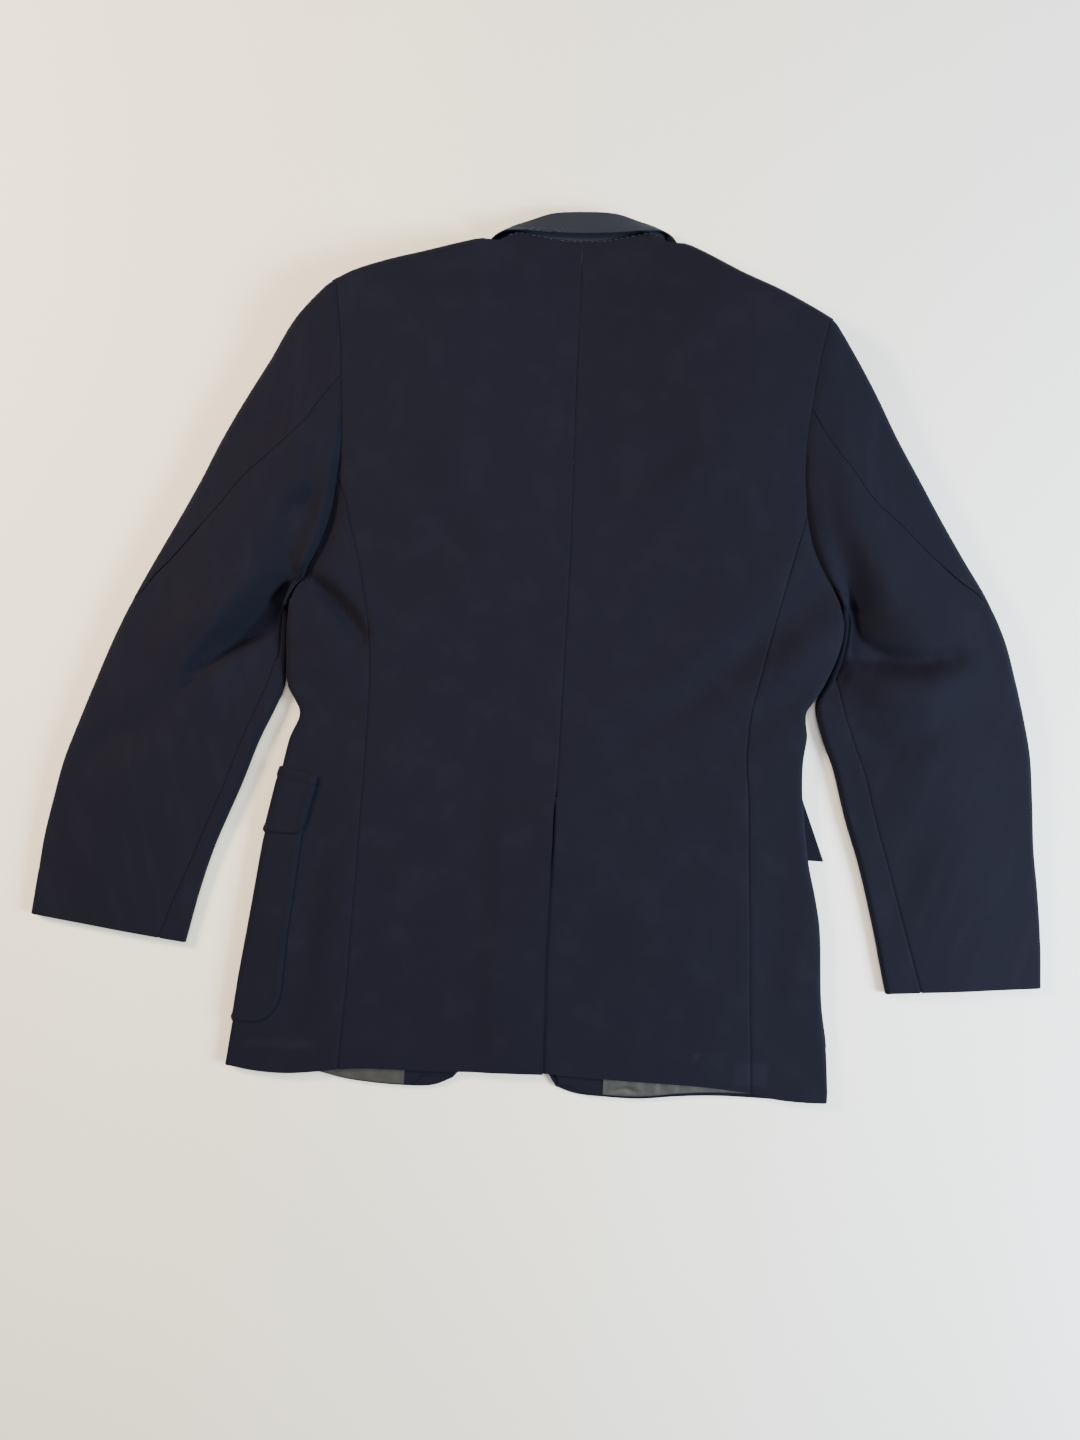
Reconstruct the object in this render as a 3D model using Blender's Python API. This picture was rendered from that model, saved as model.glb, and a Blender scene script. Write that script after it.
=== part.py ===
"""A single-breasted blazer laid out face down: the fronts lie on the surface and the back is on top.

Metres. +X is to the right as one looks down on the back, +Y runs from the hem to the collar, and +Z is up.
The tables are in the cutter's frame: x is counted outwards from the centre back line, y along it.
The part's origin is the middle of the garment's outline, on the surface that it lies on.
"""

import math

import bmesh
import bpy
import numpy as np
from mathutils import Vector

# Driving sizes
ORIGIN_X = -0.0120
ORIGIN_Y = 0.0537
CLOTH = 0.0016
THIN_CLOTH = 0.0010
SEAM_GAP = 0.0004
LAYER_GAP = 0.0004
ARM_GAP = 0.0004
TURNING_SEAM = 0.0009
UNDER_ARM_GAP = 0.0024
FRONT_REST = 0.0028
NECK_SKEW = 0.042
VENT_TOP = -0.0686
UNDERLAP_WIDTH = 0.040
UNDERLAP_TOP = VENT_TOP - 0.022
UNDERLAP_LIFT = 0.0022
OVERLAP_LIFT = 0.0021
BUTTON_RADIUS = 0.0100
BUTTON_THICKNESS = 0.0022
BUTTON_LEVELS = (0.000, -0.110)
BUTTON_X = -0.022

LEFT, RIGHT = "left", "right"
OUTWARD = {LEFT: -1.0, RIGHT: 1.0}

# The body, section by section from the hem up: where the back seam and the side fold lie, and how wide the fold's
# roll is. Distances are from the centre back line.
BODY_COLUMNS = ("y", "left_seam", "left_edge", "left_roll", "right_seam", "right_edge", "right_roll")
BODY = (
    (-0.3320, 0.1900, 0.2945, 0.0045, 0.1925, 0.2642, 0.0040),
    (-0.2900, 0.1877, 0.2893, 0.0055, 0.1900, 0.2605, 0.0050),
    (-0.2500, 0.1855, 0.2848, 0.0060, 0.1875, 0.2540, 0.0055),
    (-0.1800, 0.1828, 0.2752, 0.0065, 0.1840, 0.2490, 0.0060),
    (-0.1200, 0.1807, 0.2672, 0.0065, 0.1802, 0.2390, 0.0060),
    (-0.0600, 0.1790, 0.2555, 0.0065, 0.1768, 0.2275, 0.0060),
    (-0.0280, 0.1780, 0.2490, 0.0065, 0.1755, 0.2265, 0.0060),
    (-0.0040, 0.1775, 0.2405, 0.0065, 0.1755, 0.2290, 0.0060),
    (0.0190, 0.1770, 0.2470, 0.0065, 0.1770, 0.2275, 0.0065),
    (0.0450, 0.1775, 0.2490, 0.0060, 0.1805, 0.2430, 0.0080),
    (0.0760, 0.1798, 0.2505, 0.0052, 0.1860, 0.2535, 0.0075),
    (0.1000, 0.1828, 0.2535, 0.0012, 0.1920, 0.2545, 0.0062),
    (0.1220, 0.1865, 0.2540, 0.0012, 0.1966, 0.2512, 0.0012),
)

# The seam between the back and the side above the last section, up to the armhole.
SEAM_TOP = {
    LEFT: ((0.1882, 0.1296), (0.1989, 0.1743), (0.2107, 0.2008)),
    RIGHT: ((0.1985, 0.1300), (0.2088, 0.1665), (0.2166, 0.1936)),
}

# The armhole on the back, from the shoulder tip down to the seam, and from the seam down to the underarm.
ARMHOLE_UPPER = {
    LEFT: ((0.2203, 0.3822), (0.2152, 0.3514), (0.2113, 0.3155), (0.2100, 0.2801), (0.2102, 0.2358), (0.2107, 0.2008)),
    RIGHT: ((0.2242, 0.3690), (0.2186, 0.3363), (0.2144, 0.2999), (0.2114, 0.2642), (0.2116, 0.2289), (0.2166, 0.1936)),
}
ARMHOLE_LOWER = {
    LEFT: ((0.2107, 0.2008), (0.2185, 0.1642), (0.2306, 0.1360), (0.2425, 0.1185), (0.2495, 0.1090), (0.2523, 0.1000)),
    RIGHT: ((0.2166, 0.1936), (0.2264, 0.1650), (0.2375, 0.1440), (0.2458, 0.1320), (0.2500, 0.1220)),
}
# The armhole on the front, from the shoulder tip down to the underarm.
ARMHOLE_FRONT = {
    LEFT: ((0.2203, 0.3822), (0.2060, 0.3400), (0.1960, 0.2850), (0.1955, 0.2250), (0.2080, 0.1600), (0.2420, 0.1200), (0.2523, 0.1000)),
    RIGHT: ((0.2242, 0.3690), (0.2100, 0.3300), (0.1990, 0.2800), (0.1975, 0.2350), (0.2090, 0.1750), (0.2400, 0.1400), (0.2500, 0.1220)),
}

# The shoulder's silhouette from the neck to the tip.
SHOULDER = {
    LEFT: ((0.0780, 0.4400), (0.1031, 0.4334), (0.1445, 0.4223), (0.1786, 0.4116), (0.2067, 0.4010), (0.2265, 0.3900)),
    RIGHT: ((0.0785, 0.4454), (0.1074, 0.4345), (0.1447, 0.4180), (0.1828, 0.4016), (0.2142, 0.3857), (0.2306, 0.3766)),
}
SHOULDER_ROLL = 0.0100
SHOULDER_TIP_WAY = {LEFT: (0.62, 0.78), RIGHT: (0.66, 0.75)}

# Half of the back neck seam, from the centre to the neck point, before the neck's skew.
NECK_SEAM = ((0.0000, 0.4374), (0.0300, 0.4384), (0.0560, 0.4410), (0.0720, 0.4340))

CENTRE_BACK = (
    (0.0000, -0.3264),
    (0.0000, -0.2000),
    (0.0000, VENT_TOP),
    (0.0010, 0.0380),
    (0.0020, 0.1490),
    (0.0010, 0.2300),
    (0.0000, 0.3390),
    (0.0000, 0.4374),
)

# The hem of the back and sides, and the hem of the fronts that shows below it.
HEM_BACK = {
    LEFT: ((0.0000, -0.3264), (0.0582, -0.3274), (0.1045, -0.3287), (0.1694, -0.3290), (0.1900, -0.3308)),
    RIGHT: ((0.0000, -0.3257), (0.0531, -0.3285), (0.0995, -0.3300), (0.1459, -0.3314), (0.1925, -0.3352)),
}
HEM_SIDE = {
    LEFT: ((0.1900, -0.3308), (0.2150, -0.3345), (0.2391, -0.3367), (0.2673, -0.3356), (0.2900, -0.3320)),
    RIGHT: ((0.1925, -0.3352), (0.2060, -0.3378), (0.2212, -0.3400), (0.2450, -0.3412), (0.2602, -0.3410)),
}
HEM_FRONT = {
    LEFT: ((0.2600, -0.3325), (0.2162, -0.3345), (0.1833, -0.3409), (0.1366, -0.3442), (0.1014, -0.3425), (0.0840, -0.3350)),
    RIGHT: ((0.2300, -0.3380), (0.1653, -0.3380), (0.1282, -0.3407), (0.0913, -0.3462), (0.0541, -0.3462), (0.0180, -0.3390)),
}
# The front edge from the middle of the round corner up to the neck, along the line where the lapel turns.
# Here x is positive towards the right side on both fronts.
FRONT_EDGE = {
    LEFT: ((-0.0840, -0.3350), (-0.0705, -0.3180), (-0.0625, -0.2850), (-0.0480, -0.2100), (-0.0240, -0.1250),
           (-0.0080, -0.0400), (-0.0060, 0.0150), (-0.0100, 0.0700), (-0.0320, 0.2400), (-0.0745, 0.4305)),
    RIGHT: ((0.0180, -0.3390), (0.0010, -0.3180), (-0.0080, -0.2850), (-0.0180, -0.2100), (-0.0290, -0.1250),
            (-0.0380, -0.0400), (-0.0370, 0.0150), (-0.0280, 0.0700), (0.0180, 0.2400), (0.0745, 0.4350)),
}
SIDE_FRONT_INSET = 0.032

# How high the cloth of the back lies, section by section: at the centre back, half way out and at the side.
HEIGHT_COLUMNS = ("y", "centre", "middle", "side")
HEIGHTS = (
    (-0.360, 0.0090, 0.0088, 0.0092),
    (-0.300, 0.0092, 0.0092, 0.0105),
    (-0.200, 0.0098, 0.0102, 0.0120),
    (-0.100, 0.0102, 0.0106, 0.0130),
    (0.000, 0.0104, 0.0112, 0.0140),
    (0.080, 0.0118, 0.0135, 0.0165),
    (0.150, 0.0145, 0.0180, 0.0210),
    (0.220, 0.0180, 0.0235, 0.0275),
    (0.300, 0.0215, 0.0300, 0.0345),
    (0.370, 0.0230, 0.0335, 0.0375),
    (0.440, 0.0205, 0.0290, 0.0360),
    (0.480, 0.0200, 0.0280, 0.0350),
)
HALF_WIDTH = 0.225

# The sleeves: the outline from the shoulder tip and the underarm down to the cuff.
SLEEVE_OUTER = {
    LEFT: ((0.2265, 0.3900), (0.2588, 0.3545), (0.2808, 0.3168), (0.3024, 0.2798), (0.3226, 0.2421), (0.3398, 0.2050),
           (0.3589, 0.1677), (0.3791, 0.1299), (0.3983, 0.0924), (0.4150, 0.0547), (0.4293, 0.0171), (0.4430, -0.0204),
           (0.4560, -0.0582), (0.4645, -0.0956), (0.4712, -0.1285), (0.4755, -0.1612), (0.4807, -0.2007)),
    RIGHT: ((0.2306, 0.3766), (0.2543, 0.3426), (0.2767, 0.3077), (0.2968, 0.2720), (0.3185, 0.2368), (0.3402, 0.2014),
            (0.3631, 0.1657), (0.3868, 0.1302), (0.4051, 0.0942), (0.4170, 0.0579), (0.4271, 0.0215), (0.4345, -0.0105),
            (0.4390, -0.0521), (0.4430, -0.0983), (0.4485, -0.1353), (0.4540, -0.1816), (0.4570, -0.2251)),
}
SLEEVE_INNER = {
    LEFT: ((0.2541, 0.0990), (0.2595, 0.0900), (0.2625, 0.0760), (0.2615, 0.0500), (0.2590, 0.0200), (0.2770, -0.0309), (0.2915, -0.0726),
           (0.3145, -0.1331), (0.3283, -0.1822), (0.3370, -0.2209)),
    RIGHT: ((0.2518, 0.1210), (0.2580, 0.1120), (0.2620, 0.0980), (0.2620, 0.0760), (0.2530, 0.0460), (0.2425, 0.0150), (0.2541, -0.0305), (0.2685, -0.0790),
            (0.2825, -0.1191), (0.2974, -0.1715), (0.3139, -0.2379)),
}
# How high the sleeve lies along its length, at its outer fold, its crown and its inner fold, and how wide its folds roll.
SLEEVE_COLUMNS = ("along", "outer", "crown", "inner", "outer_roll", "inner_roll")
SLEEVE = (
    (0.00, 0.0340, 0.0380, 0.0130, 0.0100, 0.0012),
    (0.05, 0.0318, 0.0380, 0.0140, 0.0102, 0.0045),
    (0.10, 0.0290, 0.0370, 0.0150, 0.0102, 0.0060),
    (0.28, 0.0235, 0.0330, 0.0140, 0.0092, 0.0066),
    (0.45, 0.0190, 0.0270, 0.0128, 0.0082, 0.0062),
    (0.65, 0.0152, 0.0205, 0.0118, 0.0068, 0.0055),
    (0.85, 0.0120, 0.0150, 0.0102, 0.0055, 0.0048),
    (1.00, 0.0096, 0.0106, 0.0090, 0.0045, 0.0042),
)
# Where the two sleeve seams run: the elbow seam starts on the back of the cap and turns over the outer fold, and the
# forearm seam stays on the back near the inner fold. 0 to 1 is round the outer fold, and 1 to 2 across the back.
SEAM_COLUMNS = ("along", "left_elbow", "left_forearm", "right_elbow", "right_forearm")
SLEEVE_SEAMS = (
    (0.03, 1.300, 1.975, 1.330, 1.975),
    (0.06, 1.315, 1.972, 1.335, 1.970),
    (0.12, 1.270, 1.968, 1.310, 1.966),
    (0.18, 1.185, 1.965, 1.220, 1.965),
    (0.25, 1.080, 1.960, 1.100, 1.965),
    (0.30, 1.000, 1.958, 1.000, 1.965),
    (0.34, 0.700, 1.955, 0.700, 1.965),
    (0.40, 0.500, 1.950, 0.500, 1.960),
    (0.47, 0.500, 1.945, 0.500, 1.945),
    (0.56, 0.500, 1.942, 0.500, 1.890),
    (0.66, 0.500, 1.938, 0.500, 1.856),
    (0.84, 0.500, 1.925, 0.500, 1.850),
    (0.92, 0.500, 1.890, 0.500, 1.825),
    (1.00, 0.500, 1.855, 0.500, 1.795),
)

# Folds, each a soft ridge or trough along a line. Here x is positive to the right.
FOLD_COLUMNS = ("where", "x0", "y0", "x1", "y1", "half_width", "rise")
FOLDS = (
    ("sleeve", -0.245, 0.135, -0.335, 0.045, 0.030, 0.0075),
    ("sleeve", -0.285, 0.070, -0.400, -0.040, 0.026, -0.0070),
    ("sleeve", -0.235, 0.250, -0.300, 0.235, 0.016, -0.0035),
    ("sleeve", -0.300, 0.020, -0.400, -0.085, 0.020, 0.0032),
    ("sleeve", -0.420, -0.060, -0.350, -0.130, 0.030, -0.0022),
    ("sleeve", 0.262, 0.190, 0.330, 0.125, 0.020, 0.0050),
    ("sleeve", 0.275, 0.086, 0.365, 0.082, 0.017, -0.0085),
    ("sleeve", 0.270, 0.046, 0.350, 0.042, 0.022, 0.0060),
    ("sleeve", 0.285, 0.010, 0.335, -0.015, 0.014, -0.0030),
    ("sleeve", 0.380, 0.090, 0.300, -0.080, 0.035, 0.0025),
    ("body", -0.235, 0.125, -0.190, 0.060, 0.016, -0.0050),
    ("body", -0.215, 0.075, -0.235, 0.000, 0.020, 0.0035),
    ("body", 0.240, 0.085, 0.200, 0.110, 0.022, 0.0090),
    ("body", 0.235, 0.020, 0.150, -0.020, 0.016, -0.0025),
    ("body", -0.215, -0.110, -0.228, -0.270, 0.014, -0.0012),
    ("body", 0.110, 0.330, 0.060, 0.230, 0.030, -0.0018),
    ("body", 0.150, 0.270, 0.080, 0.170, 0.035, 0.0018),
    ("body", 0.180, 0.100, 0.060, -0.080, 0.035, -0.0012),
    ("body", -0.120, 0.300, -0.060, 0.180, 0.040, 0.0014),
)

# The collar, from the centre back round the neck to its end on the front: the seam at its foot, the line where it
# rolls over and its free edge. The left and right halves are mirrored, before the neck's skew.
COLLAR_COLUMNS = ("foot", "roll", "edge")
COLLAR = (
    ((0.0000, 0.4392, 0.0185), (0.0000, 0.4548, 0.0150), (0.0000, 0.4432, 0.0400)),
    ((0.0300, 0.4402, 0.0188), (0.0290, 0.4540, 0.0148), (0.0340, 0.4443, 0.0388)),
    ((0.0540, 0.4425, 0.0185), (0.0520, 0.4508, 0.0140), (0.0610, 0.4462, 0.0340)),
    ((0.0660, 0.4425, 0.0155), (0.0610, 0.4468, 0.0120), (0.0780, 0.4478, 0.0250)),
    ((0.0640, 0.4410, 0.0085), (0.0570, 0.4420, 0.0080), (0.0850, 0.4545, 0.0085)),
    ((0.0560, 0.4280, 0.0042), (0.0480, 0.4270, 0.0023), (0.0920, 0.4350, 0.0006)),
    ((0.0500, 0.3950, 0.0042), (0.0430, 0.3940, 0.0024), (0.0980, 0.3900, 0.0004)),
    ((0.0440, 0.3640, 0.0042), (0.0370, 0.3640, 0.0024), (0.1040, 0.3580, 0.0004)),
)

LAPEL_TOP = {LEFT: 0.356, RIGHT: 0.360}
LAPEL_WIDTH = 0.086
LAPEL_BREAK = {LEFT: 0.030, RIGHT: 0.150}

# The patch pocket and its flap: levels, and the reach from the side fold to the front. "behind" is how far the rear
# edge lies on the back of the side fold, at the top and the foot; the right pocket ends on the fold itself.
POCKET_TOP, POCKET_FOOT, POCKET_WIDTH, POCKET_CORNER = -0.064, -0.2905, 0.155, 0.030
FLAP_TOP, FLAP_FOOT, FLAP_WIDTH, FLAP_CORNER = -0.0545, -0.1150, 0.163, 0.010
POCKET_REAR = {LEFT: ((0.2210, -0.064), (0.2330, -0.117), (0.2419, -0.205), (0.2475, -0.2905))}
FLAP_REAR = {LEFT: ((0.2207, -0.0545), (0.2225, -0.068), (0.2320, -0.110), (0.2335, -0.1150))}
FLAP_PEEK = 0.0115

FACING_INNER = {LEFT: -0.128, RIGHT: 0.056}
LINING_OUTER = {LEFT: -0.235, RIGHT: 0.225}
HEM_STRIP_TOP = -0.290
HEM_MARGIN = 0.0015

# Colours from the photo
NAVY = (0.016, 0.018, 0.030)
NAVY_COLLAR = (0.022, 0.025, 0.036)
LINING_GREY = (0.110, 0.105, 0.097)
HORN = (0.020, 0.016, 0.013)


def column(columns, table, name):
    """One named column of a table, as an array."""
    return np.array([row[columns.index(name)] for row in table], float)


def spline(points, closeness=24):
    """Points close together on a smooth curve through the given ones."""
    points = np.asarray(points, float)
    steps = np.sqrt(np.linalg.norm(np.diff(points, axis=0), axis=1)) + 1e-9
    knots = np.concatenate([[0.0], np.cumsum(steps)])
    slopes = np.gradient(points, knots, axis=0)
    found = []
    for i, step in enumerate(steps):
        f = np.linspace(0, 1, closeness, endpoint=False)[:, None]
        rise = (3 * f**2 - 2 * f**3) * (points[i + 1] - points[i])
        bend = f * (1 - f) ** 2 * step * slopes[i] - f**2 * (1 - f) * step * slopes[i + 1]
        found.append(points[i] + rise + bend)
    return np.concatenate(found + [points[-1:]])


def at_shares(line, shares, carried=None):
    """Points at the given shares of a dense line's length, or what is carried along with the line there."""
    along = lengths_along(line)
    values = line if carried is None else carried
    return np.stack([np.interp(shares, along, values[:, k]) for k in range(values.shape[1])], 1)


def lengths_along(line):
    """How far along a line each of its points lies, as a share of its length."""
    along = np.concatenate([[0.0], np.cumsum(np.linalg.norm(np.diff(line, axis=0), axis=1))])
    return along / along[-1]


def beside_line(line, distance, shares):
    """Points at shares of a dense plan line's length, moved to its left by a distance."""
    way = np.gradient(line, axis=0)
    way /= np.linalg.norm(way, axis=1)[:, None]
    way = at_shares(line, shares, way)
    return at_shares(line, shares) + distance * np.stack([-way[:, 1], way[:, 0]], 1)


def smooth(t, low, high):
    """0 below low, 1 above high and a smooth step between."""
    f = np.clip((np.asarray(t, float) - low) / (high - low), 0, 1)
    return f * f * (3 - 2 * f)


def curve_of(columns, table, name, at):
    """A table's column read as a smooth function of its first column."""
    line = spline(np.stack([column(columns, table, columns[0]), column(columns, table, name)], 1))
    return np.interp(at, line[:, 0], line[:, 1])


def across(low, middle, high, share):
    """A soft crown: low at share 0, middle half way and high at share 1, level at both ends."""
    first = np.sin(np.pi * share / 2) ** 2
    return low + (high - low) * first + (middle - (low + high) / 2) * np.sin(np.pi * share) ** 2


def fold_rise(where, x, y):
    """The sum of the folds at plan points."""
    total = np.zeros_like(x)
    for kind, x0, y0, x1, y1, half_width, rise in FOLDS:
        if kind != where:
            continue
        run = np.array([x1 - x0, y1 - y0])
        share = ((x - x0) * run[0] + (y - y0) * run[1]) / (run @ run)
        near = np.clip(share, 0, 1)
        apart = np.hypot(x - x0 - near * run[0], y - y0 - near * run[1])
        total = total + rise * np.exp(-((apart / half_width) ** 2))
    return total


def back_height(x, y):
    """The outer face of the back and sides over a plan point."""
    share = np.clip(np.abs(x) / HALF_WIDTH, 0, 1)
    parts = [curve_of(HEIGHT_COLUMNS, HEIGHTS, name, y) for name in HEIGHT_COLUMNS[1:]]
    return across(parts[0], parts[1], parts[2], share) + fold_rise("body", x, y)


def vent_lift(x, y):
    """How much the left back is raised where it lies on the vent's underlap."""
    return UNDERLAP_LIFT * smooth(-y, -VENT_TOP - 0.016, -VENT_TOP - 0.004) * smooth(x, -0.070, -0.044)


def overlap_lift(x, y):
    """How much the right front is raised where it lies on the left front."""
    edge = spline(FRONT_EDGE[LEFT])
    near = np.interp(y, edge[:, 1], edge[:, 0])
    return OVERLAP_LIFT * smooth(near + 0.060 - x, 0.0, 0.020) * smooth(y, -0.270, -0.215)


def coons(foot, top, inner, outer, up):
    """A patch between four plan lines. foot and top run across, inner and outer run up, at the shares in up."""
    corners = inner[0], outer[0], inner[-1], outer[-1]
    u = np.linspace(0, 1, len(foot))[:, None]
    foot = foot + (1 - u) * (corners[0] - foot[0]) + u * (corners[1] - foot[-1])
    top = top + (1 - u) * (corners[2] - top[0]) + u * (corners[3] - top[-1])
    v = np.asarray(up)[:, None, None]
    u = u[None]
    ruled = (1 - v) * foot[None] + v * top[None] + (1 - u) * inner[:, None] + u * outer[:, None]
    flat = (1 - v) * ((1 - u) * corners[0] + u * corners[1]) + v * ((1 - u) * corners[2] + u * corners[3])
    return ruled - flat


class Surface:
    """A grid of points on a cloth's outer face, with the way out at each."""

    def __init__(self, points, ways):
        self.points = np.asarray(points, float)
        ways = np.asarray(ways, float)
        self.ways = ways / np.linalg.norm(ways, axis=-1)[..., None]

    def beside(self, other):
        """This grid and the next one across, whose first column repeats this one's last."""
        return Surface(
            np.concatenate([self.points, other.points[:, 1:]], 1), np.concatenate([self.ways, other.ways[:, 1:]], 1)
        )

    def above(self, other):
        """This grid and the next one up, whose first row repeats this one's last."""
        return Surface(np.concatenate([self.points, other.points[1:]]), np.concatenate([self.ways, other.ways[1:]]))

    def out(self, distance):
        """The same grid moved out."""
        return Surface(self.points + distance * self.ways, self.ways)


def draped(plan, height):
    """The surface over plan points, where height gives z. Its cloth is as thick upright all over."""
    x, y = plan[..., 0], plan[..., 1]
    upright = np.zeros(x.shape + (3,))
    upright[..., 2] = 1
    return Surface(np.stack([x, y, height(x, y)], -1), upright)


def level(plan, z):
    """A surface facing down at height z."""
    x = plan[..., 0]
    z = z + np.zeros_like(x)
    down = np.zeros(x.shape + (3,))
    down[..., 2] = -1
    return Surface(np.stack([x, plan[..., 1], z], -1), down)


def rolled(tangent, way, reach, low, high, turns):
    """A roll from the underside to the back: turns is 0 at the underside, 0.5 at the silhouette and 1 on the back.

    tangent and way are plan points and plan directions, and reach is how far out the silhouette lies."""
    angle = np.pi * turns
    side = reach * np.sin(angle)
    z = low + (high - low) * (1 - np.cos(angle)) / 2
    points = np.concatenate([tangent + way * side[..., None], z[..., None]], -1)
    level_way = way * ((high - low) / 2 * np.sin(angle))[..., None]
    return Surface(points, np.concatenate([level_way, (-reach * np.cos(angle))[..., None]], -1))


def outward_of(line, sign):
    """The plan direction away from the garment at each point of a silhouette that runs downwards or upwards."""
    way = np.gradient(line, axis=0)
    ways = np.stack([way[:, 1], -way[:, 0]], 1)
    ways /= np.linalg.norm(ways, axis=1)[:, None]
    turn = np.where(ways[:, :1] * sign < 0, -1.0, 1.0)
    return ways * turn


def mirrored(points, side):
    """Plan points of one side, with x turned to that side."""
    return np.asarray(points, float) * (OUTWARD[side], 1.0)


def side_line(side, name):
    """The back seam or the side fold of one side, from the hem to the last section, as a dense line."""
    rows = np.stack([column(BODY_COLUMNS, BODY, f"{side}_{name}"), column(BODY_COLUMNS, BODY, "y")], 1)
    return spline(mirrored(rows, side))


def underarm_level(side):
    """How high up the underarm lies."""
    return ARMHOLE_LOWER[side][-1][1]


def fold_line(side, levels):
    """The tangent points and ways out of the side fold at some levels, and how far it rolls."""
    edge = side_line(side, "edge")
    x = np.interp(levels, edge[:, 1], edge[:, 0])
    roll = curve_of(BODY_COLUMNS, BODY, f"{side}_roll", levels)
    sign = OUTWARD[side]
    tangent = np.stack([x - sign * roll, levels], -1)
    way = np.zeros_like(tangent)
    way[..., 0] = sign
    return tangent, way, roll


def back_seam(side):
    """The seam between the back and the side, from the hem to the armhole."""
    lower = mirrored(
        np.stack([column(BODY_COLUMNS, BODY, f"{side}_seam"), column(BODY_COLUMNS, BODY, "y")], 1)[1:-1], side
    )
    start = mirrored(HEM_BACK[side][-1:], side)
    return spline(np.concatenate([start, lower, mirrored(SEAM_TOP[side], side)]))


def shoulder_lines(side, shares):
    """Tangent points, ways out and roll of the shoulder from the neck point to the tip."""
    line = spline(mirrored(SHOULDER[side], side))
    edge = at_shares(line, shares)
    ways = np.gradient(line, axis=0)
    ways = np.stack([-ways[:, 1], ways[:, 0]], 1) * OUTWARD[side]
    ways = at_shares(line, shares, ways / np.linalg.norm(ways, axis=1)[:, None])
    tip = mirrored([SHOULDER_TIP_WAY[side]], side)
    blend = smooth(shares, 0.75, 1.0)[:, None]
    ways = (1 - blend) * ways + blend * tip / np.linalg.norm(tip)
    ways /= np.linalg.norm(ways, axis=1)[:, None]
    roll = np.full(len(edge), SHOULDER_ROLL)
    return edge - ways * roll[:, None], ways, roll


def neck_plan(side, shares):
    """The neck seam from the centre to the neck point."""
    line = spline(mirrored(NECK_SEAM, side))
    found = at_shares(line, shares)
    found[:, 1] += NECK_SKEW * found[:, 0]
    return found


def shell(name, surface, thickness, material, mask=None):
    """A closed wall of cloth: the outer face, the inner face a thickness in, and a rim all round."""
    rows, columns = surface.points.shape[:2]
    inner = surface.points - thickness * surface.ways
    mesh = bmesh.new()
    shift = Vector((ORIGIN_X, ORIGIN_Y, 0))
    grids = []
    for face in (surface.points, inner):
        grids.append([[mesh.verts.new(Vector(p) - shift) for p in row] for row in face])
    centre = surface.points[rows // 2 : rows // 2 + 2, columns // 2 : columns // 2 + 2]
    facing = np.cross(centre[0, 1] - centre[0, 0], centre[1, 0] - centre[0, 0])
    turn = facing @ surface.ways[rows // 2, columns // 2] < 0
    kept = np.ones((rows - 1, columns - 1), bool) if mask is None else mask

    def add(corners, reverse):
        mesh.faces.new(corners[::-1] if reverse else corners)

    for i, j in zip(*np.nonzero(kept)):
        around = ((i, j), (i, j + 1), (i + 1, j + 1), (i + 1, j))
        add([grids[0][a][b] for a, b in around], turn)
        add([grids[1][a][b] for a, b in around], not turn)
        beyond = ((i - 1, j), (i, j + 1), (i + 1, j), (i, j - 1))
        for k, (a, b) in enumerate(beyond):
            inside = 0 <= a < rows - 1 and 0 <= b < columns - 1 and kept[a, b]
            if not inside:
                (p, q), (r, s) = around[k], around[(k + 1) % 4]
                add([grids[0][r][s], grids[0][p][q], grids[1][p][q], grids[1][r][s]], turn)
    bmesh.ops.delete(mesh, geom=[v for v in mesh.verts if not v.link_faces], context="VERTS")
    data = bpy.data.meshes.new(name)
    mesh.to_mesh(data)
    mesh.free()
    data.materials.append(material)
    data.shade_smooth()
    data.set_sharp_from_angle(angle=math.radians(50))
    return placed(name, data)


def placed(name, data):
    """Links a mesh to the garment's collection."""
    item = bpy.data.objects.new(name, data)
    bpy.data.collections[COLLECTION].objects.link(item)
    return item


COLLECTION = "blazer"


def cloth_material(name, colour, roughness):
    """A plain cloth or button finish."""
    material = bpy.data.materials.new(name)
    material.use_nodes = True
    shader = material.node_tree.nodes["Principled BSDF"]
    shader.inputs["Base Color"].default_value = (*colour, 1)
    shader.inputs["Roughness"].default_value = roughness
    shader.inputs["Metallic"].default_value = 0.0
    material.diffuse_color = (*colour, 1)
    return material


# The back

SIDE_ROWS, SIDE_FLAT, SIDE_ROLL, SIDE_UNDER = 18, 5, 5, 3
ARM_ROWS, BACK_COLUMNS, NECK_SHARE, WRAP_TURNS = 9, 8, 0.36, 3


def back_top(side, shares):
    """The back's upper boundary: the neck seam, then the shoulder. Plan points, ways out, rolls and how far it turns."""
    shares = np.asarray(shares)
    in_neck = shares <= NECK_SHARE
    neck = neck_plan(side, np.minimum(shares / NECK_SHARE, 1))
    run = np.clip((shares - NECK_SHARE) / (1 - NECK_SHARE), 0, 1)
    tangent, ways, roll = shoulder_lines(side, run)
    plan = np.where(in_neck[:, None], neck, tangent)
    turned = smooth(run, 0.0, 0.12)
    up = np.array([[0.0, 1.0]])
    ways = up * (1 - turned)[:, None] + ways * turned[:, None]
    ways /= np.linalg.norm(ways, axis=1)[:, None]
    return plan, ways, 0.0030 + (roll - 0.0030) * turned, turned


def upper_arm(side, rows):
    """The armhole's points on the back panel, from its top end down to the seam with the side."""
    return at_shares(spline(mirrored(ARMHOLE_UPPER[side], side)), np.linspace(0, 1, rows + 1))


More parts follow.
